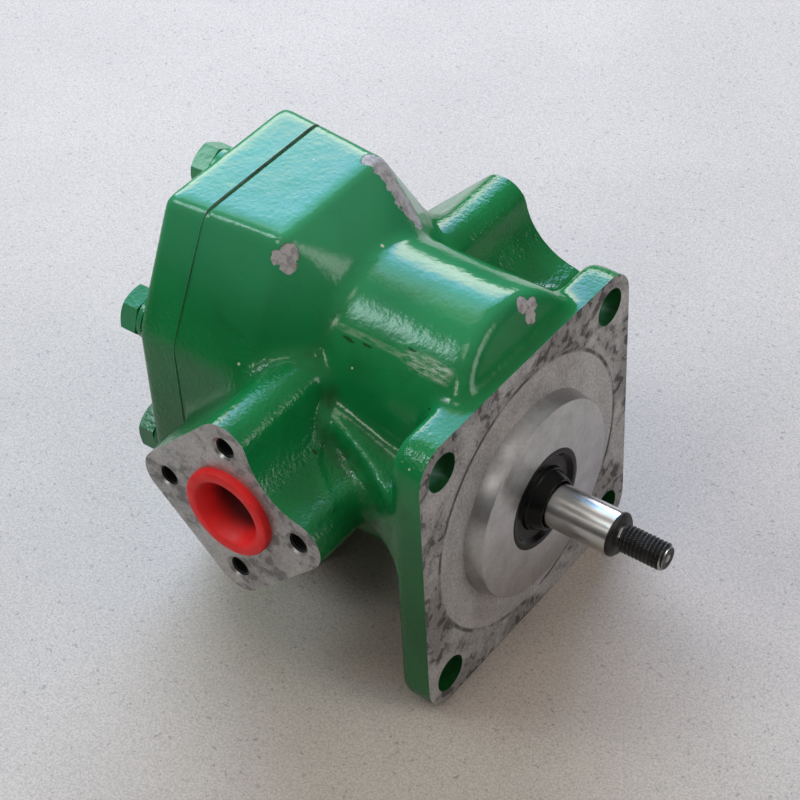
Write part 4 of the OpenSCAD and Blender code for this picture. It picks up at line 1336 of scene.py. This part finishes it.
class PUMP_OT_plug(bpy.types.Operator):
    """Builds the red push-in plug of the inlet port"""

    bl_idname = "gear_pump.plug"
    bl_label = "Inlet plug"

    def execute(self, context):
        h = context.scene.pump_hardware
        rim_r = (PLUG_HIGH.x - PLUG_LOW.x) / 2
        mouth = rim_r - h.plug_lip
        deep = PLUG_HIGH.y - BODY_LOW.y
        floor = deep - h.plug_wall
        inner = h.plug_r - h.plug_wall
        base = inner - h.plug_taper
        rim, edge, lead, soft = h.plug_rim, h.plug_round, h.plug_lead, h.plug_soft
        middle = edge * ROUNDING_MIDDLE
        profile = ((-deep, 0), (-deep, h.plug_r - lead), (lead - deep, h.plug_r), (0, h.plug_r), (0, rim_r),
                   (rim - edge, rim_r), (rim - middle, rim_r - middle), (rim, rim_r - edge),
                   (rim, mouth + soft), (rim - soft / 3, mouth + soft / 6), (rim - soft, mouth - soft / 2),
                   (-MM, inner - h.plug_neck), (MM - floor, base), (-floor, base - MM), (-floor, 0))
        plug = turned_tool("plug", "plug_plastic", profile, origin=(PORT_X, BODY_LOW.y, PORT_Z), axis=-Y_AXIS)
        finish_piece(plug, "inlet_plug_moulded", "port_plug", ["inlet_plug"], 40)
        return {"FINISHED"}


NODE_FINISHES = {
    "polished_steel": ("dowel_pins", "driven_shaft", "garter_spring"),
    "dull_steel": ("drive_gear", "drive_gear_key", "driven_gear", "seal_case"),
    "block_alloy": ("front_bearing_block", "rear_bearing_block"),
    "bush_bronze": ("drive_front_bush", "drive_rear_bush", "driven_front_bush", "driven_rear_bush",
                    "front_wear_plate", "rear_wear_plate"),
    "seal_rubber": ("cover_seal", "front_block_seals", "rear_block_seals"),
}


class PUMP_OT_inner(bpy.types.Operator):
    """Gives the gears, bearings and seals inside the pump their finishes"""

    bl_idname = "gear_pump.inner"
    bl_label = "Inner pieces"

    def execute(self, context):
        for finish, nodes in NODE_FINISHES.items():
            for node in nodes:
                refinish(frame["nodes"][node].data, finish)
        return {"FINISHED"}


# Stage

def polar(away, azimuth, height):
    """A vector of a length, turned by an azimuth and raised by an angle in degrees."""
    turn, rise = math.radians(azimuth), math.radians(height)
    return away * Vector((math.cos(rise) * math.cos(turn), math.cos(rise) * math.sin(turn), math.sin(rise)))


FLOOR_GAP = 0.2 * MM
WORLD_TINT = (1.0, 0.97, 0.93)
AIM = Vector((-0.08, 0, 0.09))
WINDOW_PLACE = polar(1.7, 131, 36)
WINDOW_SIZE = (1.5, 1.25)
# Shades of the window from its foot to its top
WINDOW_SHADES = (
    (0.0, (0.34, 0.34, 0.35)), (0.2, (0.66, 0.66, 0.68)), (0.42, (0.5, 0.52, 0.64)),
    (0.5, (0.26, 0.46, 0.86)), (0.565, (0.22, 0.41, 0.76)), (0.64, (0.13, 0.28, 0.46)),
    (1.0, (0.06, 0.13, 0.2)),
)
# Soft panels: property with the power, place from the aim, sides in metres and tint
PANELS = (
    ("skylight", polar(1.7, 140, 58), (0.9, 0.9), (1.0, 0.95, 0.89)),
    ("left", polar(1.5, 212, 50), (0.75, 0.65), (0.74, 0.95, 1.0)),
    ("overhead", Vector((-0.2, -0.42, 1.55)), (0.7, 0.7), (1.0, 0.95, 0.88)),
    ("side", polar(1.5, 264, 40), (0.6, 0.42), (1.0, 0.97, 0.92)),
    ("front", Vector((1.5, 0.5, 0.6)), (1.1, 1.1), (1.0, 0.99, 0.97)),
)
# Strength at the middle of a soft panel, which makes up for its dim edges
PANEL_MIDDLE = 3.0


def panel_at(name, place, size, tint, power):
    """A panel of light that faces the pump, with its node tree and the places across it from 0 to 1."""
    lamp = bpy.data.objects.new(name, bpy.data.lights.new(name, "AREA"))
    lamp.data.shape = "RECTANGLE"
    lamp.data.size, lamp.data.size_y = size
    lamp.data.energy = power
    lamp.data.color = tint
    lamp.data.use_nodes = True
    turn = (-place).to_track_quat("-Z", "Y").to_matrix().to_4x4()
    lamp.matrix_world = Matrix.Translation(AIM + place) @ turn
    bpy.context.scene.collection.objects.link(lamp)
    tree = lamp.data.node_tree
    return tree, axes(tree, tree.nodes.new("ShaderNodeNewGeometry").outputs["Parametric"])


def add_window(strength):
    """The window behind the pump, shaded from white at its foot to a dim blue at its top."""
    power = math.pi * WINDOW_SIZE[0] * WINDOW_SIZE[1]
    tree, places = panel_at("window", WINDOW_PLACE, WINDOW_SIZE, (1, 1, 1), power)
    ramp = add_node(tree, "ShaderNodeValToRGB", {"Fac": places["Y"]})
    keys = ramp.color_ramp.elements
    for index, (at, tint) in enumerate(WINDOW_SHADES):
        key = keys[index] if index < 2 else keys.new(at)
        key.position = at
        key.color = (*tint, 1)
    feed(tree, tree.nodes["Emission"], Color=ramp.outputs["Color"], Strength=strength)


def add_panel(name, place, size, tint, power):
    """A panel of light that fades out towards its edges."""
    tree, places = panel_at(name, place, size, tint, power)
    strength = PANEL_MIDDLE
    for axis in "XY":
        edge = calc(tree, "ABSOLUTE", calc(tree, "SUBTRACT", places[axis], 0.5))
        strength = times(tree, spread(tree, edge, 0.5, 0.1), strength)
    feed(tree, tree.nodes["Emission"], Strength=strength)


class PUMP_OT_stage(bpy.types.Operator):
    """Sets the floor, the lights and the camera"""

    bl_idname = "gear_pump.stage"
    bl_label = "Stage"

    def execute(self, context):
        scene, stage = context.scene, context.scene.pump_stage
        scene.view_settings.view_transform = "Standard"
        self.floor(stage)
        self.world(scene, stage)
        self.camera(scene, stage)
        add_window(stage.window)
        for name, place, size, tint in PANELS:
            add_panel(name, place, size, tint, getattr(stage, name))
        return {"FINISHED"}

    def floor(self, stage):
        """A flat floor just under the pump."""
        bm = bmesh.new()
        place = Matrix.Translation((0, 0, BODY_LOW.z - FLOOR_GAP))
        bmesh.ops.create_grid(bm, x_segments=1, y_segments=1, size=stage.floor_side / 2, matrix=place)
        floor = scratch(bm, "floor", "pale_floor")

    def world(self, scene, stage):
        """Light from all round, brighter towards the zenith."""
        world = bpy.data.worlds.new("studio")
        world.use_nodes = True
        scene.world = world
        tree = world.node_tree
        rise = axes(tree, tree.nodes.new("ShaderNodeTexCoord").outputs["Generated"])["Z"]
        feed(tree, tree.nodes["Background"], Color=WORLD_TINT,
             Strength=spread(tree, rise, 0.1, 1.0, stage.ambient, stage.zenith))

    def camera(self, scene, stage):
        """The camera, above and in front of the near port."""
        right, back = Vector(stage.right).normalized(), Vector(stage.back).normalized()
        up = back.cross(right).normalized()
        right = up.cross(back)
        camera = bpy.data.objects.new("camera", bpy.data.cameras.new("camera"))
        turn = Matrix((right, up, back)).transposed().to_4x4()
        camera.matrix_world = Matrix.Translation(stage.place) @ turn
        camera.data.lens = stage.lens
        camera.data.clip_start = 0.01
        scene.collection.objects.link(camera)
        scene.camera = camera


class PUMP_PT_sidebar(bpy.types.Panel):
    """Lists the pieces of the pump"""

    bl_idname = "PUMP_PT_sidebar"
    bl_label = "Gear Pump"
    bl_space_type = "VIEW_3D"
    bl_region_type = "UI"
    bl_category = "Gear Pump"

    def draw(self, context):
        for operator in OPERATORS:
            self.layout.operator(operator.bl_idname)


GROUPS = {"pump_casting": CastingSizes, "pump_hardware": HardwareSizes, "pump_look": FinishLook,
          "pump_stage": StageLook}
OPERATORS = (PUMP_OT_finishes, PUMP_OT_casting, PUMP_OT_cover, PUMP_OT_bolts, PUMP_OT_shaft, PUMP_OT_seal,
             PUMP_OT_plug, PUMP_OT_inner, PUMP_OT_stage)


def register():
    """Registers the classes and the properties."""
    for cls in (*GROUPS.values(), *OPERATORS, PUMP_PT_sidebar):
        bpy.utils.register_class(cls)
    for name, group in GROUPS.items():
        setattr(bpy.types.Scene, name, PointerProperty(type=group))


def unregister():
    """Removes the properties and the classes."""
    for name in GROUPS:
        delattr(bpy.types.Scene, name)
    for cls in (PUMP_PT_sidebar, *reversed(OPERATORS), *reversed(GROUPS.values())):
        bpy.utils.unregister_class(cls)


def main():
    """Builds every piece in order."""
    register()
    for operator in OPERATORS:
        name = operator.bl_idname.split(".")[1]
        getattr(bpy.ops.gear_pump, name)()


if __name__ == "__main__":
    main()
